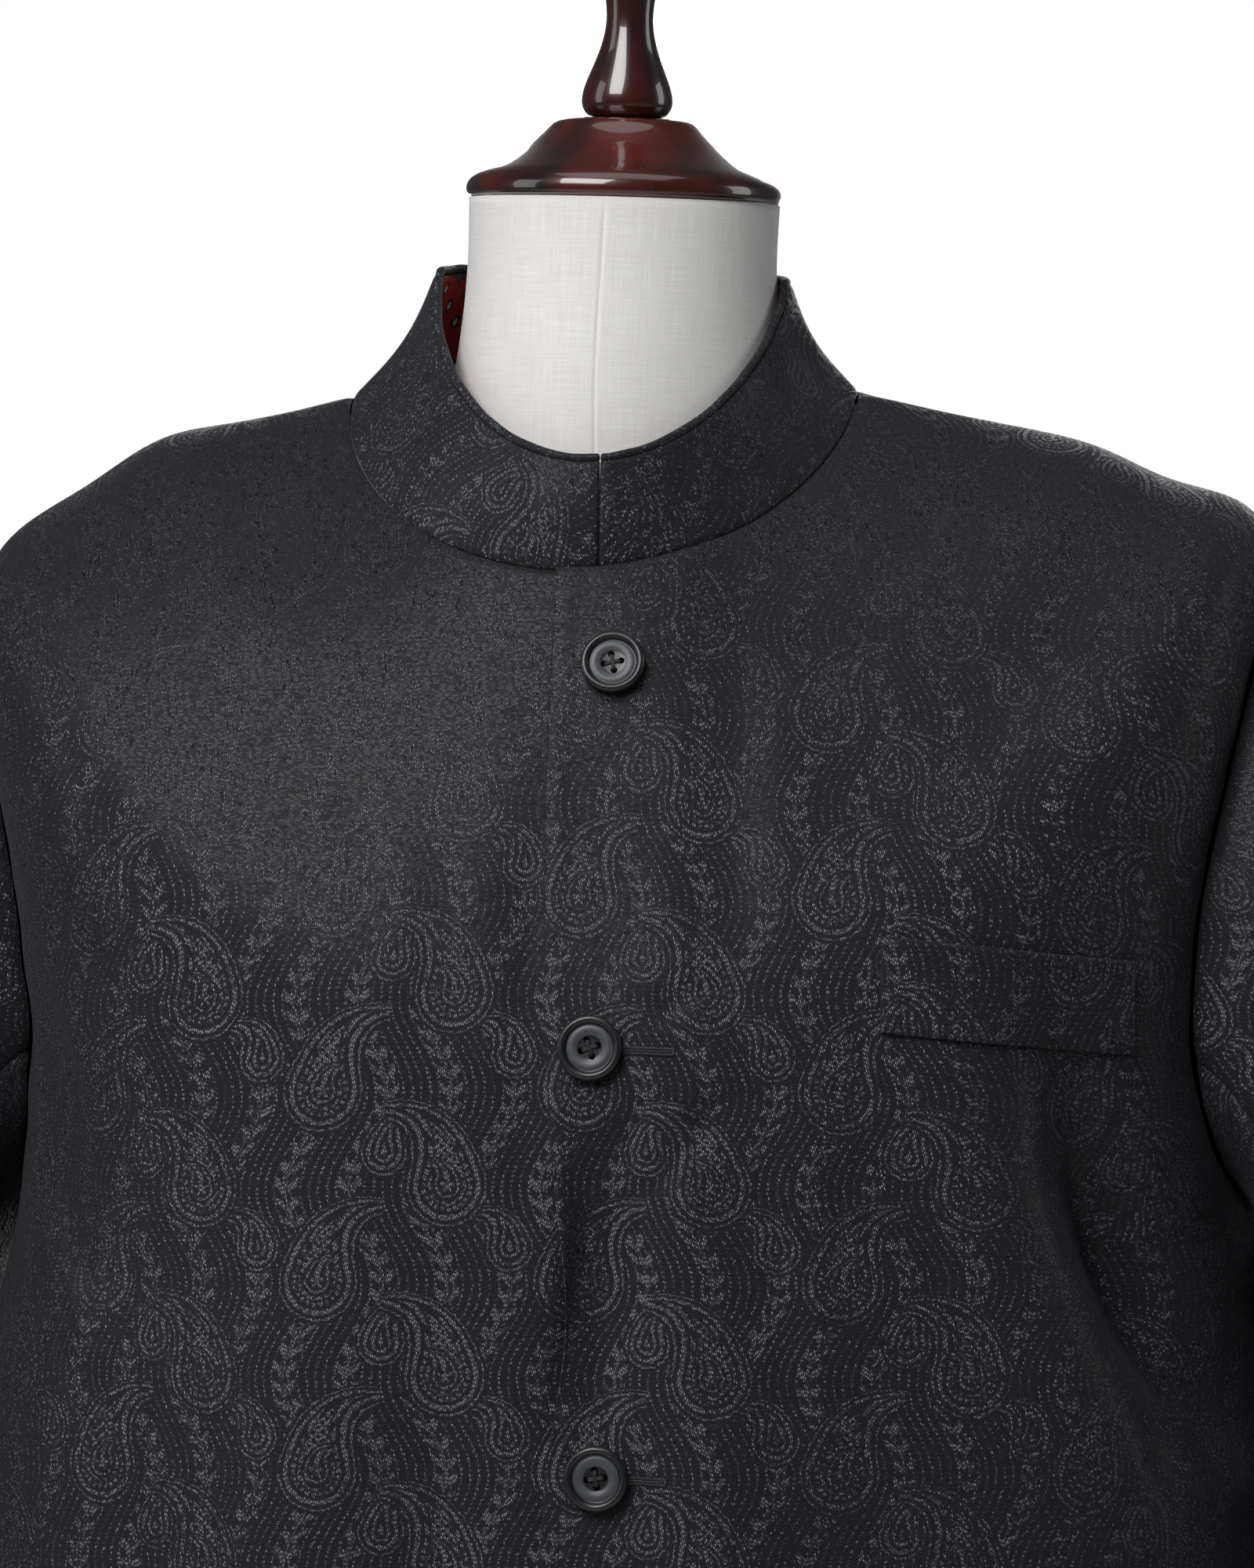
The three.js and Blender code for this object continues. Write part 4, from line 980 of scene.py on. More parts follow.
def body_panel(name, is_front, side, columns, origin):
    at = body_rows
    middle = np.full(len(at), math.pi / 2)
    if is_front:
        height = ring_point(body_rings, at, -math.pi / 2)[:, 2] - SHOULDER_POINT
        middle = front_turn(at, column_at(leading_edge, "x", height) if side == "left" else UNDERLAP_X)
    full = np.full(len(at), outer_turn(at, is_front, side, 0))
    turns, from_middle, from_outer = row_turns(at, middle, full, outer_turn(at, is_front, side), columns)
    if not is_front:
        from_middle = from_middle + SEAM_GAP / 2
    rows = np.broadcast_to(at[:, None], turns.shape)
    plain = panel_point(name, rows, turns)
    outward = ring_normal(body_rings, rows, turns)
    dips = seam_dip(from_outer) + seam_dip(rows)
    free = edge_drop(HEM_AT - rows)
    thicker = HEM_BULK * np.exp(-(((HEM_AT - rows) - 20) / 14) ** 2)
    if is_front:
        free = free + edge_drop(from_middle)
        thicker = thicker + FACING_BULK * np.exp(-((from_middle - 4) / 3.5) ** 2)
    else:
        dips = dips + seam_dip(from_middle)
    near_armhole = np.exp(-from_outer / 9) * smoothstep(rows, 150, 185) * (1 - smoothstep(rows, 300, 330))
    pucker = ARMHOLE_PUCKER * np.sin(rows / 2.9 + 2 * np.sin(rows / 17)) * near_armhole
    outer = plain + outward * (dips - np.minimum(free, EDGE_ROUND) + thicker + pucker)[..., None]
    inner = plain - outward * (CLOTH_WALL - np.minimum(free, EDGE_ROUND))[..., None]
    backwards = (0, 1, 0) if is_front else (0, -1, 0)
    flat = grain_map(plain, outward, backwards, origin)
    cloth_pieces[name] = shell(name + "_cloth", outer, inner, [body_cloth, plain_lining], flat)
    panel_maps[name] = flat


body_panel("front_left", True, "left", 76, (60, 0, -13.0, 0.0))
body_panel("front_right", True, "right", 84, (60, 0, 27.0, 0.0))
body_panel("back_left", False, "left", 72, (60, 0, 0.0, 5.0))
body_panel("back_right", False, "right", 72, (60, 0, 0.0, 5.0))

# %% [markdown]
# ## Sleeves
# A tailored sleeve is cut in two: a top sleeve and an under sleeve, set into the armhole with a
# little more cloth than the hole, which gives the cap its roundness. Each row is a curve that
# leaves the armhole along the cap and arrives at the level ring of the upper arm.

# %% Sleeve surface
ARMHOLE_GAP, TOP_REACH, MIDDLE_REACH, LOW_REACH = 0.12, 40.0, 10.0, 9.0
SLEEVE_SQUARE, SLEEVE_WALL = 2.15, 1.5
LOOP_HALF, SLEEVE_EDGE_STEPS = 48, [0.03, 0.8, 2.0]
CAP_ROPE, CAP_PUCKER, PRESSED_LIFT = 0.9, 0.3, 8.0
CAP_STEPS = [0, 0.0012, 0.0035, 0.008, 0.015]
CAP_ROWS = len(CAP_STEPS) + 30
sleeve_creases = [
    # around (degrees), depth, to around, to depth, lift, width in mm
    [60, 470, 120, 520, -4.0, 10], [110, 505, 60, 560, -3.2, 10], [70, 540, 130, 575, 2.6, 9],
    [250, 480, 300, 440, -2.4, 12], [20, 200, 60, 330, -2.0, 14], [330, 210, 300, 340, -2.2, 14],
    [100, 340, 150, 400, -3.0, 12], [140, 300, 90, 360, 2.2, 10], [30, 600, 80, 660, -1.6, 12],
    [180, 420, 230, 470, -2.6, 12], [0, 380, 20, 470, 1.6, 16], [320, 540, 280, 620, -1.8, 13],
]


def sleeve_ring_point(depth, around, side):
    across = signed_power(np.cos(around), 2 / SLEEVE_SQUARE)
    along = signed_power(np.sin(around), 2 / SLEEVE_SQUARE)
    x = column_at(sleeve_rings, "midX", depth) + column_at(sleeve_rings, "wide", depth) * across
    y = column_at(sleeve_rings, "midY", depth) - column_at(sleeve_rings, "deep", depth) * along
    z = SHOULDER_POINT - depth + np.zeros(np.shape(around))
    return np.stack(np.broadcast_arrays(side * x, y, z), axis=-1)


def sleeve_grid(side_name):
    """Rows from the armhole over the cap to the upper arm, then level rings down to the cuff."""
    side = 1 if side_name == "left" else -1
    count = 2 * LOOP_HALF
    half = np.arange(LOOP_HALF + 1)
    at = SHOULDER_TIP_AT + (ARMPIT_AT - SHOULDER_TIP_AT) * (1 - np.cos(math.pi * half / LOOP_HALF)) / 2
    down = panel_point("armhole", at, outer_turn(at, True, side_name))
    up = panel_point("armhole", at[-2:0:-1], outer_turn(at[-2:0:-1], False, side_name))
    loop = np.concatenate([down, up])
    around = 2 * math.pi * np.arange(count) / count
    outer_share, front_share = (1 + np.cos(around)) / 2, np.sin(around)
    top = sleeve_rings["at"][0]
    bicep = sleeve_ring_point(top, around, side)
    sideways = np.full(count, side * 0.85)
    heading = unit(np.stack([sideways, -0.5 * front_share, 0.8 * outer_share - 0.5], axis=-1))
    start = loop + heading * ARMHOLE_GAP
    reach = LOW_REACH + (TOP_REACH - LOW_REACH) * outer_share**2 + MIDDLE_REACH * np.abs(front_share)
    leave = start + heading * reach[:, None]
    arrive = bicep + np.array([0, 0, 1.0]) * (8 + 125 * outer_share**1.5)[:, None]
    shares = np.concatenate([CAP_STEPS, np.linspace(0.035, 1, CAP_ROWS - len(CAP_STEPS))]) ** 1.2
    s = shares[:, None, None]
    cap = start * (1 - s) ** 3 + 3 * leave * s * (1 - s) ** 2 + 3 * arrive * s**2 * (1 - s) + bicep * s**3
    cuff = sleeve_rings["at"][-1]
    depths = np.concatenate([np.linspace(top + 4, cuff - 7, 84), cuff - np.array(EDGE_STEPS[::-1])])
    lower = np.stack([sleeve_ring_point(d, around, side) for d in depths])
    return np.concatenate([cap, lower]), around, cuff


def tube_normals(grid, side):
    """The way out of a grid that closes on itself."""
    across = np.roll(grid, -1, axis=1) - np.roll(grid, 1, axis=1)
    return unit(np.cross(across, np.gradient(grid, axis=0))) * side


def sleeve_relief(grid, around, side_name):
    """Creases, the rope and puckers of the cap, and the dip of its seam."""
    depth = SHOULDER_POINT - grid[..., 2]
    degrees = np.degrees(around)[None, :] + np.zeros(depth.shape)
    lift = 0.5 * np.sin(depth / 33 + np.sin(degrees / 40)) * np.sin(np.radians(degrees) * 2 + depth / 90)
    mirror = 0 if side_name == "left" else 14
    for a0, d0, a1, d1, height, width in sleeve_creases:
        run = np.array([(a1 - a0) * 0.95, d1 - d0], float)
        rel_a = (degrees - a0 - mirror + 180) % 360 - 180
        rel = np.stack([rel_a * 0.95, depth - d0 - mirror * 0.8], axis=-1)
        along = np.clip(rel @ run / (run @ run), 0, 1)
        distance = np.linalg.norm(rel - along[..., None] * run, axis=-1)
        taper = np.sin(math.pi * np.clip(along, 0.02, 0.98)) ** 0.8
        lift += height * taper * np.exp(-((distance / (width * FOLD_SPREAD)) ** 2))
    from_armhole = np.cumsum(np.linalg.norm(np.diff(grid, axis=0, prepend=grid[:1]), axis=-1), axis=0)
    rope = CAP_ROPE * np.exp(-(((from_armhole - 5) / 5) ** 2)) * ((1 + np.cos(around)) / 2)
    column = np.arange(grid.shape[1])
    pucker = CAP_PUCKER * np.sin(column * 1.1 + np.sin(column / 5)) * np.exp(-from_armhole / 12)
    if side_name == "left":
        # This sleeve is pressed against the body just under the armhole
        pressed = smoothstep(depth, 306, 322) * (1 - smoothstep(depth, 365, 420))
        pressed = pressed * smoothstep(from_armhole, 1, 8)
        rope = rope + PRESSED_LIFT * pressed * np.exp(-(((degrees - 192) / 17) ** 2))
    return lift * smoothstep(from_armhole, 3, 30) + rope + pucker + seam_dip(from_armhole)


def sleeve_pieces(side_name):
    side = 1 if side_name == "left" else -1
    grid, around, cuff = sleeve_grid(side_name)
    normals = tube_normals(grid, side)
    lift = sleeve_relief(grid, around, side_name)
    count = grid.shape[1]
    seams = LOOP_HALF // 12 * 8, count - LOOP_HALF // 12 * 8
    depth = SHOULDER_POINT - grid[..., 2]
    is_lower = (np.arange(len(grid)) >= CAP_ROWS)[:, None]
    from_cuff = np.where(is_lower, cuff - depth, 99)
    for kind, first, last in (("top", seams[1] - count, seams[0]), ("under", seams[0], seams[1])):
        columns = np.arange(first, last + 1) % count
        surface_points = grid[:, columns].copy()
        extra = []
        for end, step in ((0, 1), (-1, -1)):
            edge, towards = surface_points[:, end], surface_points[:, end + step]
            run = towards - edge
            length = np.linalg.norm(run, axis=-1, keepdims=True)
            extra.append([edge + run / length * step_in for step_in in SLEEVE_EDGE_STEPS])
        middle = surface_points[:, 1:-1]
        first_edge, last_edge = np.stack(extra[0], axis=1), np.stack(extra[1][::-1], axis=1)
        points = np.concatenate([first_edge, middle, last_edge], axis=1)

        def widened(values):
            picked = values[:, columns]
            left = [picked[:, :1]] * 3
            right = [picked[:, -1:]] * 3
            return np.concatenate(left + [picked[:, 1:-1]] + right, axis=1)

        normal, raised = widened(normals), widened(lift)
        to_seam = np.full(points.shape[1], 30.0)
        to_seam[:3] = SLEEVE_EDGE_STEPS
        to_seam[-3:] = SLEEVE_EDGE_STEPS[::-1]
        to_seam[3] = to_seam[-4] = 4.0
        dip = seam_dip(to_seam)[None, :]
        free = edge_drop(widened(from_cuff))
        outer = points + normal * (raised + dip - free)[..., None]
        inner = points + normal * (raised - SLEEVE_WALL + free)[..., None]
        flat = grain_map(points, normal, (-side, 0, 0), (60, points.shape[1] // 2, 0.0, 11.0))
        name = f"sleeve_{side_name}_{kind}"
        cloth_pieces[name] = shell(name + "_cloth", outer, inner, [body_cloth, plain_lining], flat)
        panel_maps[name] = flat


sleeve_pieces("left")
sleeve_pieces("right")

# %% [markdown]
# ## Standing collar
# The band stands on the neck seam and its two ends meet at the middle of the front. A printed facing
# lines it, and a rolled edge of the same cloth closes the top. All three come from one surface,
# `collar_point`, so they follow each other exactly.

# %% Collar surface
COLLAR_TOP = {"side": 68, "sideZ": 44.5, "front": 92, "frontZ": -29, "back": 69, "backZ": 53,
              "swell": 1.05, "midX": -4.6, "roll": 3}
COLLAR_BELLY_FRONT, COLLAR_BELLY_SIDE = 1.5, -4.0
COLLAR_WALL, PIPING_DIAMETER = 2.0, 3.4
COLLAR_HEIGHT, COLLAR_RADIUS = 44, 92
NECK_SIDE, NECK_MID_X, OPENING_X, OPENING_HALF = 97.0, -7.8, 2.0, 0.15


def collar_point(turn, up):
    turn, up = np.broadcast_arrays(np.asarray(turn, float), np.asarray(up, float))
    seam = ring_point(body_rings, 0.0, turn)
    across, along = np.cos(turn), np.sin(turn)
    is_front = along < 0
    middle = np.where(is_front, COLLAR_TOP["frontZ"], COLLAR_TOP["backZ"])
    reach = np.where(is_front, COLLAR_TOP["front"], COLLAR_TOP["back"])
    height = COLLAR_TOP["sideZ"] - (COLLAR_TOP["sideZ"] - middle) * np.abs(along) ** COLLAR_TOP["swell"]
    top = np.stack([
        COLLAR_TOP["midX"] + COLLAR_TOP["side"] * across,
        reach * along,
        SHOULDER_POINT + height - COLLAR_TOP["roll"] * across,
    ], axis=-1)
    away = unit(np.stack([across, along, np.full(across.shape, 0.5)], axis=-1))
    belly = COLLAR_BELLY_FRONT * along**2 + COLLAR_BELLY_SIDE * across**2
    return seam + (top - seam) * up[..., None] + away * (belly * np.sin(math.pi * up))[..., None]


def collar_normal(turn, up):
    rise = collar_point(turn, up + 0.02) - collar_point(turn, up - 0.02)
    around = collar_point(turn + 0.02, up) - collar_point(turn - 0.02, up)
    return unit(np.cross(around, rise))


opening_turn = -math.pi / 2 + (OPENING_X - NECK_MID_X) / NECK_SIDE
half_opening = OPENING_HALF / NECK_SIDE
collar_edge = np.array([0, 0.0022, 0.0055, 0.010, 0.017, 0.027])
collar_turns = np.concatenate([
    opening_turn + half_opening + collar_edge,
    np.linspace(opening_turn + half_opening + 0.05, opening_turn + 2 * math.pi - half_opening - 0.05, 200),
    opening_turn + 2 * math.pi - half_opening - collar_edge[::-1],
])
from_end = np.minimum(collar_turns - collar_turns[0], collar_turns[-1] - collar_turns) * COLLAR_RADIUS


def collar_waver(turn, up):
    soft = 0.35 * np.sin(turn * 7 + 1.2 * np.sin(turn * 3)) * np.sin(math.pi * up)
    return soft + 0.18 * np.sin(turn * 19 + up * 4)


def collar_wall(name, ups, near, far, materials, is_band):
    """A strip of the collar's surface, with its outer face near millimetres in and its inner face far."""
    turn, up = np.meshgrid(collar_turns, ups)
    normal = collar_normal(turn, up)
    points = collar_point(turn, up)
    to_end = np.broadcast_to(from_end, turn.shape)
    ends = edge_drop(to_end)
    relief = collar_waver(turn, up)
    if is_band:
        foot = (up - ups[0]) * COLLAR_HEIGHT
        relief = relief + seam_dip(foot) + 0.3 * np.exp(-((to_end - 4) / 3) ** 2)
        near_top = (1 - up) * COLLAR_HEIGHT
        relief = relief - 0.35 * np.exp(-((near_top / 1.2) ** 2))
    round_ends = 1.7 * edge_drop(to_end / 1.7) if is_band else ends
    outer = points - normal * near + normal * (relief - round_ends)[..., None]
    inner = points - normal * far + normal * (ends + collar_waver(turn, up) * 0.8)[..., None]
    flat = grain_map(points, normal, (0, 0, 0), (0, 103, 0.0, 0.0))
    panel_maps[name] = flat
    return shell(name, outer, inner, materials, flat)


FACING_GAP, FACING_WALL = 0.15, 0.9
band_foot, band_top = [0.0, 0.012, 0.03, 0.055], [0.965, 0.98, 0.992, 1.0]
band_ups = np.concatenate([band_foot, np.linspace(0.09, 0.94, 16), band_top])
cloth_pieces["collar_band"] = collar_wall(
    "collar_band_cloth", band_ups, 0, COLLAR_WALL, [collar_cloth], True)
facing_depth = COLLAR_WALL + FACING_GAP
facing_ups = np.linspace(0.07, 1.0, 18)
cloth_pieces["collar_facing"] = collar_wall(
    "collar_facing_cloth", facing_ups, facing_depth, facing_depth + FACING_WALL, [print_lining], False)

# %% Rolled edge of the collar
ROLL_SIDES = 16


def collar_roll():
    turn = collar_turns
    normal = collar_normal(turn, np.ones(turn.shape))
    rise = unit(collar_point(turn, 1.02) - collar_point(turn, 0.98))
    radius = PIPING_DIAMETER / 2
    centre = collar_point(turn, 1.0) + normal * (collar_waver(turn, 1.0) - radius)[:, None]
    centre = centre + rise * (radius - 0.1 + 0.12 * np.sin(turn * 23 + np.sin(turn * 9)))[:, None]
    angles = np.linspace(0, 2 * math.pi, ROLL_SIDES, endpoint=False)
    shrink = np.sqrt(np.clip(1 - (1 - np.clip(from_end / 1.2, 0, 1)) ** 2, 0.06, 1))
    around = normal[:, None] * np.cos(angles)[:, None] + rise[:, None] * np.sin(angles)[:, None]
    points = centre[:, None] + around * (radius * shrink)[:, None, None]
    length = np.cumsum(np.linalg.norm(np.diff(centre, axis=0, prepend=centre[:1]), axis=-1))
    flat = np.stack(np.broadcast_arrays(length[:, None], (angles * radius)[None, :]), axis=-1)
    index, quads = tube_quads(*points.shape[:2])
    faces = [list(f) for f in quads]
    if enclosed_volume(points.reshape(-1, 3), quads) < 0:
        faces = [f[::-1] for f in faces]
        faces += [list(index[0]), list(index[-1][::-1])]
    else:
        faces += [list(index[0][::-1]), list(index[-1])]
    flat = flat.reshape(-1, 2)
    return mesh_object("collar_piping_cloth", points.reshape(-1, 3), faces, [piping_cloth], flat)


cloth_pieces["collar_piping"] = collar_roll()
print("collar:", len(collar_turns), "columns")

# %% [markdown]
# ## Chest pocket
# The pocket's welt is a folded strip sewn on the left front, level with its grain. It is made from
# the front's own surface moved out, so it takes the front's folds.

# %% Welt
WELT_FROM, WELT_TO, WELT_HEIGHT = np.array([108.5, -236.0]), np.array([197.0, -245.5]), 34.5
WELT_WALL, WELT_REST, WELT_EDGE = 1.9, 0.2, 1.8


def even_with_edges(length, step):
    edge = np.array(EDGE_STEPS)
    count = max(int((length - 2 * EDGE_BAND) / step), 2)
    inner = np.linspace(EDGE_BAND, length - EDGE_BAND, count)
    return np.concatenate([edge, inner, length - edge[::-1]])


def welt():
    length = np.linalg.norm(WELT_TO - WELT_FROM)
    across = even_with_edges(length, 3.0)
    upwards = even_with_edges(WELT_HEIGHT, 3.0)
    share = across / length
    x, foot = (WELT_FROM + (WELT_TO - WELT_FROM) * share[:, None]).T
    xs, rise = np.meshgrid(x, upwards)
    at = front_place(xs, foot + rise)
    turn = front_turn(at, xs)
    normal = ring_normal(body_rings, at, turn)
    base = panel_point("front_left", at, turn)
    ends = np.minimum(across, length - across)[None, :] + np.zeros(xs.shape)
    to_edge = np.minimum(ends, WELT_HEIGHT - rise)
    free = edge_drop(np.minimum(to_edge, rise))
    press = 0.5 * np.exp(-((rise / 2.2) ** 2))
    gape = 0.9 * smoothstep(rise, 22, 34) * np.sin(math.pi * share)[None, :]
    turned_edge = WELT_EDGE * edge_drop(to_edge / WELT_EDGE)
    outer = base + normal * (WELT_REST + WELT_WALL - np.maximum(free, turned_edge) - press + gape)[..., None]
    inner = base + normal * (WELT_REST + free * 0.5 - press * 0.5 + gape)[..., None]
    flat = grain_map(base, normal, (0, 1, 0), (0, 0, 17.0, 30.0))
    panel_maps["chest_welt"] = flat
    return shell("chest_welt_cloth", outer, inner, [body_cloth], flat), base, normal, across, upwards


cloth_pieces["chest_welt"], welt_base, welt_normal, welt_across, welt_upwards = welt()

# %% [markdown]
# ## Buttons
# Each is turned from horn: a rolled rim, a groove inside it, a flat dish and four holes. The profile
# is spun round, and the holes are cut through with a boolean. The face is plain. One button is
# modelled and then set on the cloth four times, square to it, each turned a little differently.

# %% A turned solid
def turned(name, profile, sides, materials, smooth=True):
    """Spins rows of (radius, height) round Z into a closed solid. Radius 0 at an end makes a pole."""
    profile = np.array(profile, float)
    angles = np.linspace(0, 2 * math.pi, sides, endpoint=False)
    inner = profile[1:-1]
    points = [[0, 0, profile[0, 1]]]
    for radius, height in inner:
        points += [[radius * math.cos(a), radius * math.sin(a), height] for a in angles]
    points.append([0, 0, profile[-1, 1]])
    faces = []
    last = len(points) - 1
    for s in range(sides):
        n = (s + 1) % sides
        faces.append([0, 1 + n, 1 + s])
        for r in range(len(inner) - 1):
            a = 1 + r * sides
            faces.append([a + s, a + n, a + sides + n, a + sides + s])
        a = 1 + (len(inner) - 1) * sides
        faces.append([a + s, a + n, last])
    return mesh_object(name, points, faces, materials, smooth=smooth)


def spline_profile(rows, steps):
    rows = np.array(rows, float)
    run = np.concatenate([[0], np.cumsum(np.linalg.norm(np.diff(rows, axis=0), axis=1))])
    place = np.linspace(0, run[-1], steps)
    both = []
    for column in (0, 1):
        table = {"at": run, "value": rows[:, column]}
        both.append(column_at(table, "value", place))
    return np.stack(both, axis=1)


BUTTON_RADIUS, BUTTON_CLEARANCE, DISH_RADIUS = 11.75, 0.8, 8.15
HOLE_RADIUS, HOLE_OUT, SHANK_RADIUS = 1.25, 3.1, 1.5
BUTTON_PLACES = [(9.5, -105), (5.5, -242), (8.3, -395), (8.3, -548)]
BUTTON_TURNS = [0.18, 0.32, 0.14, 0.26]
button_rim = [
    (0.0, 0.0), (6.6, 0.0), (8.4, 0.1), (10.2, 0.7), (11.3, 1.5), (11.75, 2.4), (11.65, 3.2), (11.2, 3.85),
    (10.5, 4.2), (9.8, 4.15), (9.25, 3.8), (8.9, 3.3), (8.7, 2.75), (8.4, 2.5), (8.05, 2.52), (7.8, 2.62),
    (5.2, 2.52), (4.6, 2.3), (3.4, 2.15), (1.5, 2.1), (0.0, 2.1),
]
button_profile = [button_rim[0]]
button_profile += [tuple(p) for p in spline_profile(button_rim[1:-1], 60)]
button_profile += [button_rim[-1]]
blank = turned("button_blank", button_profile, 72, [horn])
hole_cutters = []
for k in range(4):
    angle = math.pi / 2 * k
    cutter = turned(f"hole_{k}", [(0, -1), (HOLE_RADIUS, -1), (HOLE_RADIUS, 6), (0, 6)], 20, [horn])
    centre = Vector((math.cos(angle), math.sin(angle), 0)) * HOLE_OUT * METRE
    cutter.data.transform(Matrix.Translation(centre))
    hole_cutters.append(cutter)
for cutter in hole_cutters:
    cut = blank.modifiers.new("hole", "BOOLEAN")
    cut.operation, cut.solver, cut.object = "DIFFERENCE", "EXACT", cutter
evaluated = blank.evaluated_get(bpy.context.evaluated_depsgraph_get())
button_mesh = bpy.data.meshes.new_from_object(evaluated)
for scratch in hole_cutters + [blank]:
    bpy.data.objects.remove(scratch)
button_mesh.materials.append(horn_dish)
for face in button_mesh.polygons:
    is_dish = face.center.xy.length < DISH_RADIUS * METRE and 2.3 * METRE < face.center.z
    face.material_index = 1 if is_dish and face.normal.z > 0.8 else 0
button_mesh.shade_smooth()
button_mesh.set_sharp_from_angle(angle=math.radians(38))


def seat_on_front(x, z):
    """The cloth's place and the axes of a button there: across, up and out."""
    reach = BUTTON_RADIUS * 0.8
    places = [(x, z), (x + reach, z), (x - reach, z), (x, z + reach), (x, z - reach)]
    points = []
    for px, pz in places:
        at = front_place(px, pz)
        points.append(panel_point("front_left", at, front_turn(at, px)))
    across = unit(points[1] - points[2])
    out_of = unit(np.cross(points[1] - points[2], points[3] - points[4]))
    return points[0], across, np.cross(out_of, across), out_of


def matrix_of(origin, across, upwards, out_of):
    matrix = Matrix.Identity(4)
    for row in range(3):
        matrix[row][0], matrix[row][1], matrix[row][2] = across[row], upwards[row], out_of[row]
        matrix[row][3] = origin[row] * METRE
    return matrix


button_pieces, button_seats = [], []
for number, ((x, z), own_turn) in enumerate(zip(BUTTON_PLACES, BUTTON_TURNS), start=1):
    seat = seat_on_front(x, z)
    origin = seat[0] + seat[3] * BUTTON_CLEARANCE
    place = matrix_of(origin, *seat[1:]) @ Matrix.Rotation(own_turn, 4, "Z")
    mesh = button_mesh.copy()
    mesh.transform(place)
    button_pieces.append(add_object(f"button_{number}_horn", mesh))
    button_seats.append(place)
print("buttons:", len(button_pieces), "of", len(button_mesh.polygons), "faces")

# %% [markdown]
# ## Sewing
# Stitches and threads are many and alike, so two Geometry Nodes trees grow them along drawn paths.
# "stitch row" sets one short stitch after another, lying on the cloth, along the path or across it.
# "thread run" makes one round thread of the path itself. Each path carries the cloth's own normal.


# %% The two sewing trees
def new_sewing_tree(name, inputs):
    tree = bpy.data.node_groups.new(name, "GeometryNodeTree")
    for direction in ("INPUT", "OUTPUT"):
        tree.interface.new_socket("Geometry", in_out=direction, socket_type="NodeSocketGeometry")
    for socket, kind, value in inputs:
        made = tree.interface.new_socket(socket, in_out="INPUT", socket_type=kind)
        if value is not None:
            made.default_value = value
    return tree, tree.nodes.new("NodeGroupInput").outputs, tree.nodes.new("NodeGroupOutput").inputs[0]


def finish_sewing_tree(tree, geometry, material, end):
    realized = new_node(tree, "GeometryNodeRealizeInstances", {0: geometry})
    smooth = new_node(tree, "GeometryNodeSetShadeSmooth", {"Geometry": realized.outputs[0]})
    coloured = new_node(tree, "GeometryNodeSetMaterial", {
        "Geometry": smooth.outputs[0], "Material": material,
    })
    tree.links.new(coloured.outputs[0], end)


MATERIAL = "NodeSocketMaterial"
stitch_row, given, end = new_sewing_tree("stitch row", [
    ("Pitch", FLOAT, 0.002), ("Stitch Length", FLOAT, 0.0015), ("Thickness", FLOAT, 0.0003),
    ("Turn", FLOAT, 0.0), ("Unevenness", FLOAT, 0.12), ("Thread", MATERIAL, None),
])
line = new_node(stitch_row, "GeometryNodeMeshToCurve", {"Mesh": given["Geometry"]})
spaced = new_node(stitch_row, "GeometryNodeResampleCurve", {
    "Curve": line.outputs[0], "Length": given["Pitch"],
}, mode="LENGTH")
normal = new_node(stitch_row, "GeometryNodeInputNamedAttribute", {
    "Name": "out_of_cloth",
}, data_type="FLOAT_VECTOR")
tangent = new_node(stitch_row, "GeometryNodeInputTangent")
aligned = new_node(stitch_row, "FunctionNodeAlignRotationToVector", {"Vector": normal.outputs[0]}, axis="Z")
aligned = new_node(stitch_row, "FunctionNodeAlignRotationToVector", {
    "Rotation": aligned.outputs[0], "Vector": tangent.outputs[0],
}, axis="X", pivot_axis="Z")
uneven = new_node(stitch_row, "FunctionNodeRandomValue", {"Seed": 7}, data_type="FLOAT")
wobble = new_node(stitch_row, "ShaderNodeMath", {0: uneven.outputs[1], 1: 0.5}, operation="SUBTRACT")
swing = new_node(stitch_row, "ShaderNodeMath", {
    0: wobble.outputs[0], 1: given["Unevenness"], 2: given["Turn"],
}, operation="MULTIPLY_ADD")
swung = new_node(stitch_row, "ShaderNodeCombineXYZ", {2: swing.outputs[0]})
swung = new_node(stitch_row, "FunctionNodeEulerToRotation", {0: swung.outputs[0]})
final_turn = new_node(stitch_row, "FunctionNodeRotateRotation", {
    "Rotation": aligned.outputs[0], "Rotate By": swung.outputs[0],
}, rotation_space="LOCAL")
bead = new_node(stitch_row, "GeometryNodeMeshUVSphere", {"Segments": 8, "Rings": 5, "Radius": 0.5})
bead_size = new_node(stitch_row, "ShaderNodeCombineXYZ", {
    0: given["Stitch Length"], 1: given["Thickness"], 2: given["Thickness"],
})
bead = new_node(stitch_row, "GeometryNodeTransform", {
    "Geometry": bead.outputs[0], "Scale": bead_size.outputs[0],
})
placed = new_node(stitch_row, "GeometryNodeInstanceOnPoints", {
    "Points": spaced.outputs[0], "Instance": bead.outputs[0], "Rotation": final_turn.outputs[0],
})
finish_sewing_tree(stitch_row, placed.outputs[0], given["Thread"], end)

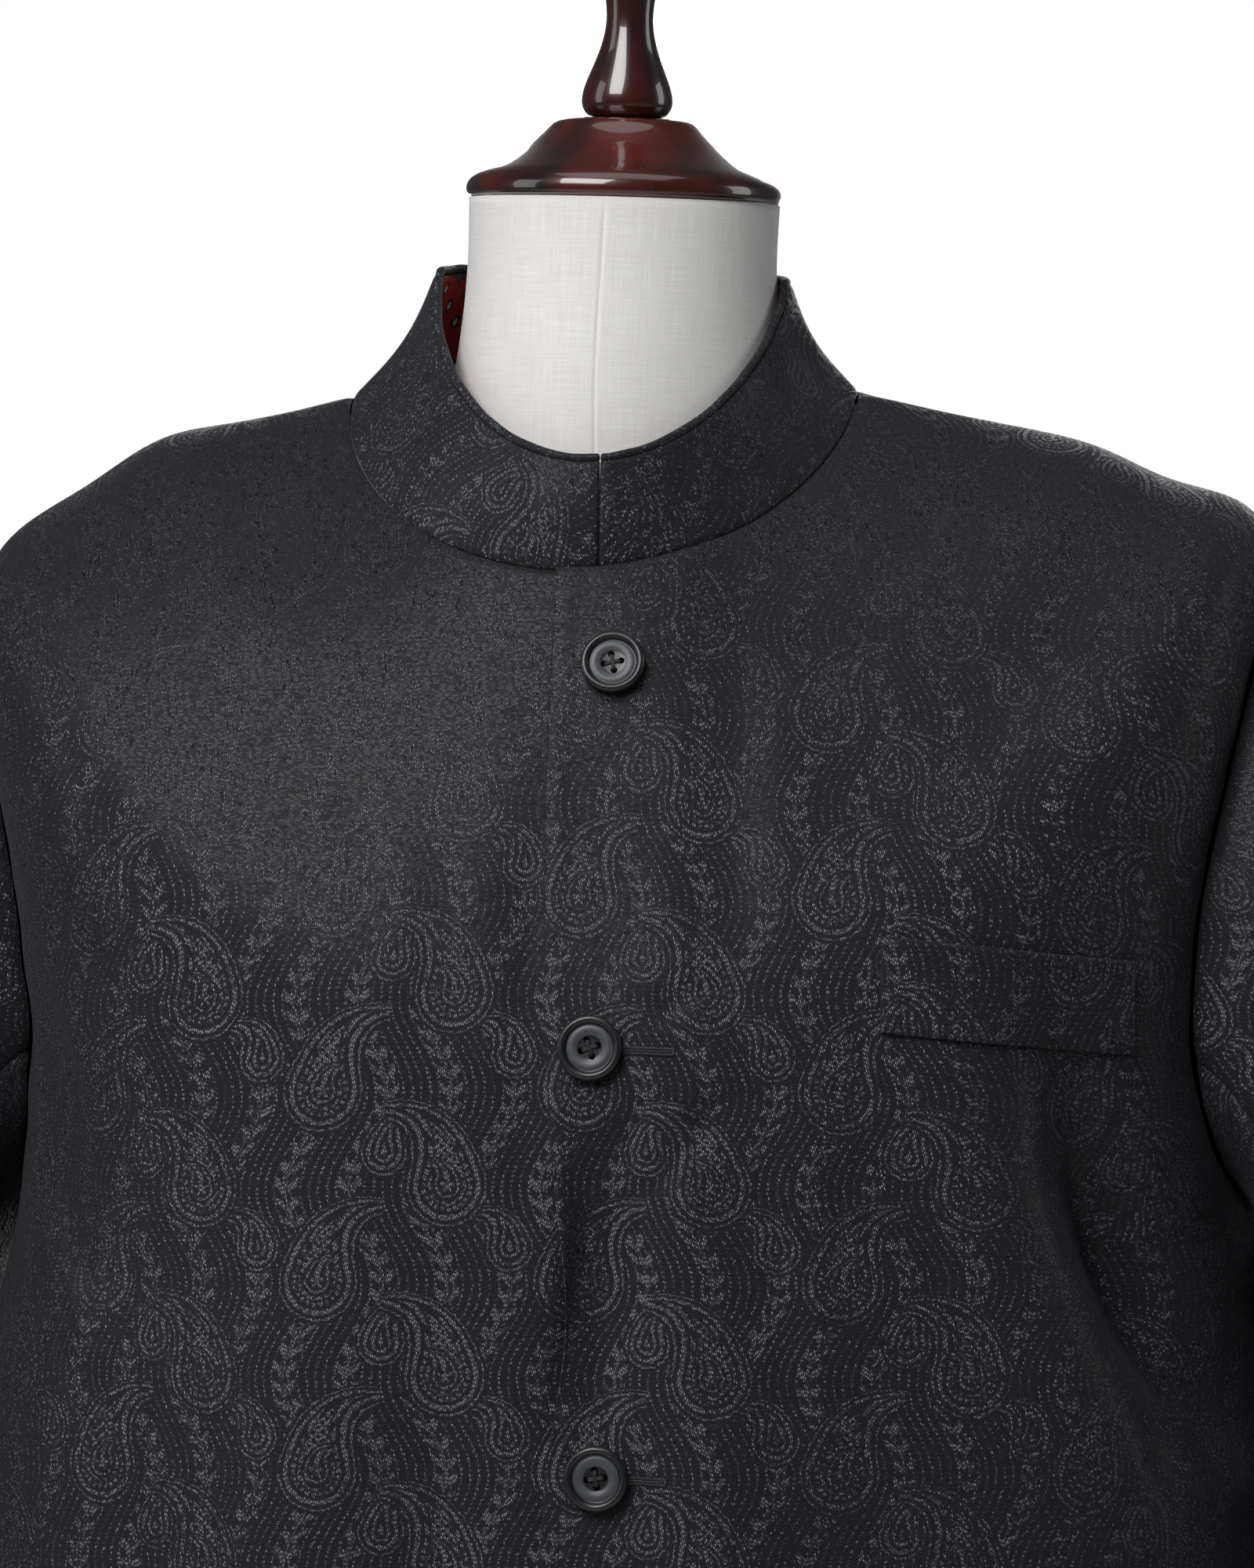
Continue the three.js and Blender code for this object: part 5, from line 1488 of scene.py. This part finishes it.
thread_run, given, end = new_sewing_tree("thread run", [
    ("Thickness", FLOAT, 0.0004), ("Thread", MATERIAL, None),
])
line = new_node(thread_run, "GeometryNodeMeshToCurve", {"Mesh": given["Geometry"]})
half_thick = new_node(thread_run, "ShaderNodeMath", {0: given["Thickness"], 1: 0.5}, operation="MULTIPLY")
ring = new_node(thread_run, "GeometryNodeCurvePrimitiveCircle", {
    "Resolution": 8, "Radius": half_thick.outputs[0],
})
tube = new_node(thread_run, "GeometryNodeCurveToMesh", {
    "Curve": line.outputs[0], "Profile Curve": ring.outputs[0], "Fill Caps": True,
})
finish_sewing_tree(thread_run, tube.outputs[0], given["Thread"], end)


def sewn(name, paths, tree, **values):
    """Grows stitches or threads along paths, each a pair of arrays: points in mm and cloth normals."""
    points, edges, normals = [], [], []
    for path, out_of in paths:
        start = len(points)
        points += [list(np.array(p) * METRE) for p in path]
        normals += [list(n) for n in out_of]
        edges += [(start + i, start + i + 1) for i in range(len(path) - 1)]
    mesh = bpy.data.meshes.new(name)
    mesh.from_pydata(points, edges, [])
    layer = mesh.attributes.new("out_of_cloth", "FLOAT_VECTOR", "POINT")
    layer.data.foreach_set("vector", np.array(normals, np.float32).ravel())
    drawn = add_object(name + "_path", mesh)
    grow = drawn.modifiers.new("sewing", "NODES")
    grow.node_group = tree
    sockets = {item.name: item.identifier for item in tree.interface.items_tree if item.in_out == "INPUT"}
    for key, value in values.items():
        grow[sockets[key.replace("_", " ").title()]] = value
    evaluated = drawn.evaluated_get(bpy.context.evaluated_depsgraph_get())
    grown = bpy.data.meshes.new_from_object(evaluated)
    bpy.data.objects.remove(drawn)
    print(name, len(paths), "paths,", len(grown.polygons), "faces")
    return add_object(name, grown)


print("sewing trees:", len(stitch_row.nodes), "and", len(thread_run.nodes), "nodes")

# %% [markdown]
# Buttonholes are horizontal, run from under each button towards the wearer's left, and are worked in
# satin stitch: dense stitches square to the slit, turned round its inner end. The welt is held at
# both ends by a row of small stitches, and along its foot by the seam. The buttons' threads
# cross in the dish and wind round a short shank underneath.

# %% Stitches on the cloth and threads in the buttons
BUTTONHOLE_SPANS = [(-13.5, 9.0), (0.5, 29.0), (0.0, 24.0), (0.5, 27.0)]
SLIT_HALF, SATIN_LENGTH, SATIN_PITCH = 0.3, 1.35, 0.42
SLIT_STEPS, SLIT_SLOPE = 34, -0.04


def on_front(x, z, lift):
    at = front_place(x, z)
    turn = front_turn(at, x)
    normal = ring_normal(body_rings, at, turn)
    return panel_point("front_left", at, turn) + normal * lift, normal


def buttonhole_path(number):
    x, z = BUTTON_PLACES[number]
    low, high = BUTTONHOLE_SPANS[number]
    away = SLIT_HALF + SATIN_LENGTH / 2
    straight = np.linspace(x + low, x + high, SLIT_STEPS)
    bow = np.linspace(math.pi / 2, -math.pi / 2, 12)[1:-1]
    xs = np.concatenate([straight, x + high + away * np.cos(bow), straight[::-1]])
    rows = np.full(SLIT_STEPS, z + away), z + away * np.sin(bow), np.full(SLIT_STEPS, z - away)
    return on_front(xs, np.concatenate(rows) + SLIT_SLOPE * (xs - x), 0.42)


buttonhole_stitches = sewn(
    "buttonhole_stitches", [buttonhole_path(n) for n in range(4)], stitch_row,
    pitch=SATIN_PITCH * METRE, stitch_length=SATIN_LENGTH * METRE, thickness=0.00042, turn=math.pi / 2,
    unevenness=0.5, thread=thread_silk)


def slit_path(number):
    x, z = BUTTON_PLACES[number]
    low, high = BUTTONHOLE_SPANS[number]
    xs = np.linspace(x + low, x + high, SLIT_STEPS)
    return on_front(xs, z + SLIT_SLOPE * (xs - x), 0.30)


# A black cord lies in each slit as painted shade: it stands for the shadow in the slit between its stitched
# edges
buttonhole_slit_shade = sewn("buttonhole_slit_shade", [slit_path(n) for n in range(4)], thread_run, thickness=0.0007,
                       thread=thread_black)


def welt_line(column_at_mm, top_share):
    """A path up the welt's face, at so many millimetres from its first end."""
    column = int(np.argmin(np.abs(welt_across - column_at_mm)))
    rows = slice(2, int(len(welt_upwards) * top_share))
    lift = WELT_REST + WELT_WALL + 0.05
    return welt_base[rows, column] + welt_normal[rows, column] * lift, welt_normal[rows, column]


welt_long = welt_across[-1]
welt_stitches = sewn(
    "welt_stitches", [welt_line(2.4, 0.93), welt_line(welt_long - 3.8, 0.93)], stitch_row,
    pitch=0.0021, stitch_length=0.0013, thickness=0.00036, thread=thread_silk)


def on_button(place, path):
    """A path given on a button, moved to its place, with the way out of the cloth at each point."""
    moved = [np.array(place @ Vector(p * METRE)) / METRE for p in path]
    return np.array(moved), np.tile(unit(np.array(place.to_3x3())[:, 2]), (len(path), 1))


button_strands = []
for place in button_seats:
    for k in range(2):
        for sideways in (-0.55, 0.0, 0.55):
            angle = math.pi / 2 * k
            steps = np.linspace(-1, 1, 15)
            along = HOLE_OUT * steps
            height = 2.35 + 0.22 * (1 - steps**2) + 0.12 * k - 1.6 * smoothstep(np.abs(steps), 0.86, 1.0)
            aside = sideways * (1 - 0.35 * (1 - steps**2))
            flat_path = np.stack([along, aside, height], axis=-1)
            spin = np.array(Matrix.Rotation(angle, 3, "Z"))
            button_strands.append(on_button(place, flat_path @ spin.T))
    wind = np.linspace(0, 2 * math.pi * 3, 60)
    round_shank = SHANK_RADIUS * np.cos(wind), SHANK_RADIUS * np.sin(wind)
    coil = np.stack([*round_shank, np.linspace(-0.75, 0.2, len(wind))], axis=-1)
    button_strands.append(on_button(place, coil))
button_threads = sewn("button_threads", button_strands, thread_run, thickness=0.0006, thread=thread_black)

# %% [markdown]
# ## Dress form, cap, finial, pole and base
# The form is a padded shell covered in linen, and its cover has a seam down the middle of the front
# and of the back. The turned parts are smooth profiles spun round. Cap and finial share the tilt of
# the neck's top.

# %% Linen form
CAP_LEAN, CAP_ROLL = math.radians(3), math.radians(2.1)
FORM_SEAMS = [(-math.pi / 2, 1.0), (math.pi / 2, 0.8)]
FORM_SEAM_RIDGE, FORM_SEAM_GROOVE, FORM_EDGE_ROUND = 0.10, 0.32, 1.5


def form_point(at, turn):
    point = ring_point(form_rings, at, turn)
    settle = 1 - smoothstep(np.asarray(at, float), 0, 45)
    point[..., 2] += settle * (point[..., 1] * math.tan(CAP_LEAN) - point[..., 0] * math.tan(CAP_ROLL))
    return point


def dress_form():
    end = form_rings["at"][-1]
    rows = np.concatenate([np.linspace(0, 240, 90), np.linspace(244, end, 90)])
    even = np.linspace(0, 2 * math.pi, 240, endpoint=False)
    beside = np.array([0.004, 0.01, 0.018, 0.03])
    near = [seam + np.concatenate([-beside, [0], beside]) for seam, _ in FORM_SEAMS]
    near = np.concatenate(near) % (2 * math.pi)
    turns = np.unique(np.round(np.concatenate([even, near]), 5))
    turn, at = np.meshgrid(turns, rows)
    points = form_point(at, turn)
    normal = ring_normal(form_rings, at, turn)
    relief = np.zeros(at.shape)
    for seam, depth in FORM_SEAMS:
        apart = np.abs((turn - seam + math.pi) % (2 * math.pi) - math.pi)
        distance = apart * np.hypot(points[..., 0], points[..., 1])
        relief += FORM_SEAM_RIDGE * depth * np.exp(-(((distance - 2.0) / 1.3) ** 2))
        relief -= FORM_SEAM_GROOVE * depth * np.exp(-((distance / 0.7) ** 2))
    relief *= smoothstep(at, 1, 8)
    points = points + normal * relief[..., None]
    rounded = np.exp(-((end - at) / 3) ** 2) * FORM_EDGE_ROUND
    points = points - unit(points * np.array([1, 1, 0])) * rounded[..., None]
    index, quads = tube_quads(*at.shape)
    flip = enclosed_volume(points.reshape(-1, 3), quads) < 0
    faces = [list(q[::-1]) if flip else list(q) for q in quads]
    flat_points = points.reshape(-1, 3)
    top, low = list(index[0]), list(index[-1])
    faces.append(top if is_up(flat_points, top) else top[::-1])
    faces.append(low[::-1] if is_up(flat_points, low) else low)
    around = np.cumsum(np.linalg.norm(np.diff(points, axis=1, prepend=points[:, :1]), axis=-1), axis=1)
    down = np.cumsum(np.linalg.norm(np.diff(points, axis=0, prepend=points[:1]), axis=-1), axis=0)
    middle = np.argmin(np.abs(turns - 1.5 * math.pi))
    flat = np.stack([around - around[:, middle : middle + 1], -down], axis=-1)
    return mesh_object("dress_form_linen", flat_points, faces, [linen], flat.reshape(-1, 2))


def is_up(points, face):
    corners = points[face]
    centre = corners.mean(0)
    turned_area = np.cross(corners - centre, np.roll(corners, -1, axis=0) - centre).sum(0)
    return turned_area[2] > 0


form_piece = dress_form()
print("form:", len(form_piece.data.polygons), "faces")

# %% Turned wood and steel
CAP_SEAT, CAP_UP, FINIAL_UP = SHOULDER_POINT + 74.0, 0.3, 31.1
cap_profile = [
    (0, 0), (56.0, 0.0), (59.0, 0.3), (60.2, 1.5), (60.5, 3.0), (60.3, 4.8), (59.0, 7.2), (56.5, 9.4),
    (52.0, 12.0), (47.5, 14.4), (43.0, 17.0), (38.0, 20.3), (34.0, 23.5), (30.8, 26.4), (28.6, 28.6),
    (26.8, 29.9), (25.0, 30.5), (0, 30.5),
]
finial_profile = [
    (0, 0.2), (12.8, 0.2), (14.6, 0.9), (16.4, 2.8), (17.4, 5.4), (17.4, 8.6), (16.4, 12.8), (14.3, 18.2),
    (11.7, 24.8), (9.8, 31.4), (9.0, 38.0), (9.4, 44.0), (10.7, 50.2), (12.8, 55.4), (14.4, 60.2),
    (14.9, 64.4), (14.2, 68.6), (11.8, 73.0), (8.6, 75.4), (4.6, 76.0), (0, 76.0),
]


def rounded_profile(rows, steps):
    return [rows[0]] + [tuple(p) for p in spline_profile(rows[1:-1], steps)] + [rows[-1]]


neck_tilt = Matrix.Translation((0, 0, CAP_SEAT * METRE))
neck_tilt = neck_tilt @ Matrix.Rotation(CAP_LEAN, 4, "X") @ Matrix.Rotation(CAP_ROLL, 4, "Y")
cap_piece = turned("neck_cap_wood", rounded_profile(cap_profile, 90), 160, [wood])
cap_piece.data.transform(neck_tilt @ Matrix.Translation((0, 0, CAP_UP * METRE)))
finial_piece = turned("finial_wood", rounded_profile(finial_profile, 110), 96, [wood])
finial_piece.data.transform(neck_tilt @ Matrix.Translation((0, 0, FINIAL_UP * METRE)))
pole_profile = [(0, 34.3), (15.2, 34.3), (16, 35.1), (16, 727), (15.2, 727.7), (0, 727.7)]
pole_piece = turned("stand_pole_steel", pole_profile, 64, [steel])
base_profile = [(0, 0), (193.5, 0), (194.6, 0.4), (195, 1.5), (195, 6.2), (194, 8.2), (188, 12), (150, 14.4),
                (90, 18), (52, 21), (38, 23), (33, 25.4), (28.6, 31), (27.4, 33.2), (25.5, 34), (0, 34)]
base_piece = turned("stand_base_steel", base_profile, 160, [steel])
for turned_piece in (pole_piece, base_piece, cap_piece, finial_piece):
    turned_piece.data.set_sharp_from_angle(angle=math.radians(50))
print("turned pieces: cap, finial, pole, base")

# %% [markdown]
# ## Camera and light
# The photograph was taken level with the chest, slightly from the wearer's left, with a long lens.
# A large soft box lights it from the upper left, and weaker ones from both sides, above and behind,
# against pure white. The world is white only to the camera, so it doesn't flood the dark cloth.

# %% Camera
CAMERA_TURN, CAMERA_DISTANCE, CAMERA_HEIGHT, CAMERA_ASIDE = math.radians(7), 2.5, 1.353, 0.0009
camera_data = bpy.data.cameras.new("camera")
camera_data.sensor_width = 36.0
camera_data.lens = 151.2
camera = add_object("camera", camera_data)
bpy.context.scene.camera = camera
right = Vector((math.cos(CAMERA_TURN), math.sin(CAMERA_TURN), 0))
away = Vector((math.sin(CAMERA_TURN), -math.cos(CAMERA_TURN), 0))
camera.location = away * CAMERA_DISTANCE + right * CAMERA_ASIDE + Vector((0, 0, CAMERA_HEIGHT))
camera.rotation_euler = (math.pi / 2, 0, CAMERA_TURN)
camera_data.clip_start, camera_data.clip_end = 0.1, 60

# %% Studio
LIT_PLACE = Vector((0, 0, 1.3))


def soft_box(name, azimuth, elevation, distance, width, height, power):
    light = bpy.data.lights.new(name, "AREA")
    light.shape, light.size, light.size_y = "RECTANGLE", width, height
    light.energy = power
    lamp = add_object(name, light)
    a, e = math.radians(azimuth), math.radians(elevation)
    back = Vector((math.sin(a) * math.cos(e), -math.cos(a) * math.cos(e), math.sin(e)))
    lamp.location = LIT_PLACE + back * distance
    lamp.rotation_euler = (-back).to_track_quat("-Z", "Y").to_euler()


soft_box("key_box", -24, 40, 2.6, 1.4, 1.6, 51)
soft_box("side_box", -70, 18, 2.6, 0.9, 2.0, 8)
soft_box("fill_box", 100, 14, 3.0, 1.0, 2.0, 11)
soft_box("top_box", 0, 80, 2.2, 1.8, 1.2, 6)
soft_box("back_box", 180, 16, 3.0, 2.0, 2.0, 34)

world = bpy.data.worlds.new("studio")
bpy.context.scene.world = world
world.use_nodes = True
tree = world.node_tree
path = new_node(tree, "ShaderNodeLightPath")
seen = new_node(tree, "ShaderNodeBackground", {"Color": (1, 1, 1, 1), "Strength": 1.0})
dim = tree.nodes["Background"]
dim.inputs["Color"].default_value = (0.9, 0.94, 1.0, 1)
dim.inputs["Strength"].default_value = 0.07
mixer = new_node(tree, "ShaderNodeMixShader", {0: path.outputs["Is Camera Ray"]})
tree.links.new(dim.outputs[0], mixer.inputs[1])
tree.links.new(seen.outputs[0], mixer.inputs[2])
tree.links.new(mixer.outputs[0], tree.nodes["World Output"].inputs["Surface"])

floor_paint, tree, surface = new_material("studio_floor")
surface.inputs["Base Color"].default_value = (0.8, 0.8, 0.8, 1)
surface.inputs["Roughness"].default_value = 0.9
FLOOR_HALF = 6000
floor_corners = [[x * FLOOR_HALF, y * FLOOR_HALF, -0.5] for x, y in ((-1, -1), (1, -1), (1, 1), (-1, 1))]
floor = mesh_object("studio_floor", floor_corners, [[0, 1, 2, 3]], [floor_paint])
bpy.context.scene.view_settings.view_transform = "Standard"

# %% [markdown]
# ## Joining the frame
# Nothing on this part moves, so every piece rides on the one body. Each piece stands for its solid,
# which is then hidden, and each sheet of cloth says how it was cut.

# %% Pieces and cloth
for name, piece in cloth_pieces.items():
    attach(piece, "root")
    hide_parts(name)
for number, piece in enumerate(button_pieces, start=1):
    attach(piece, "root")
    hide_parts(f"button_{number}")
for piece, node, slot_name in (
    (form_piece, "dress_form", "form_linen"),
    (cap_piece, "neck_cap", "form_wood"),
    (finial_piece, "finial", "form_wood"),
    (pole_piece, "stand_pole", "stand_metal"),
    (base_piece, "stand_base", "stand_metal"),
):
    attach(piece, "root")
    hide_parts(node)
for node, looks in (("dress_form", linen), ("neck_cap", wood), ("finial", wood), ("stand_pole", steel),
                    ("stand_base", steel)):
    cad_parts[node].data.materials.clear()
    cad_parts[node].data.materials.append(looks)
for piece in (buttonhole_stitches, buttonhole_slit_shade, welt_stitches, button_threads):
    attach(piece, "root")


def half_area(piece):
    """Half of a thin shell's surface, in square metres: the area of the cloth itself."""
    return sum(polygon.area for polygon in piece.data.polygons) / 2


for name, piece in cloth_pieces.items():
    print(name, "cloth area", round(half_area(piece), 4), "m2")
for name, flat in panel_maps.items():
    print(name, "flat map spans", (flat.max((0, 1)) - flat.min((0, 1))).round(1), "mm")
for name, edge in (("foot", welt_base[0]), ("end", welt_base[:, 0])):
    print("welt", name, np.linalg.norm(np.diff(edge, axis=0), axis=-1).sum().round(1), "mm")
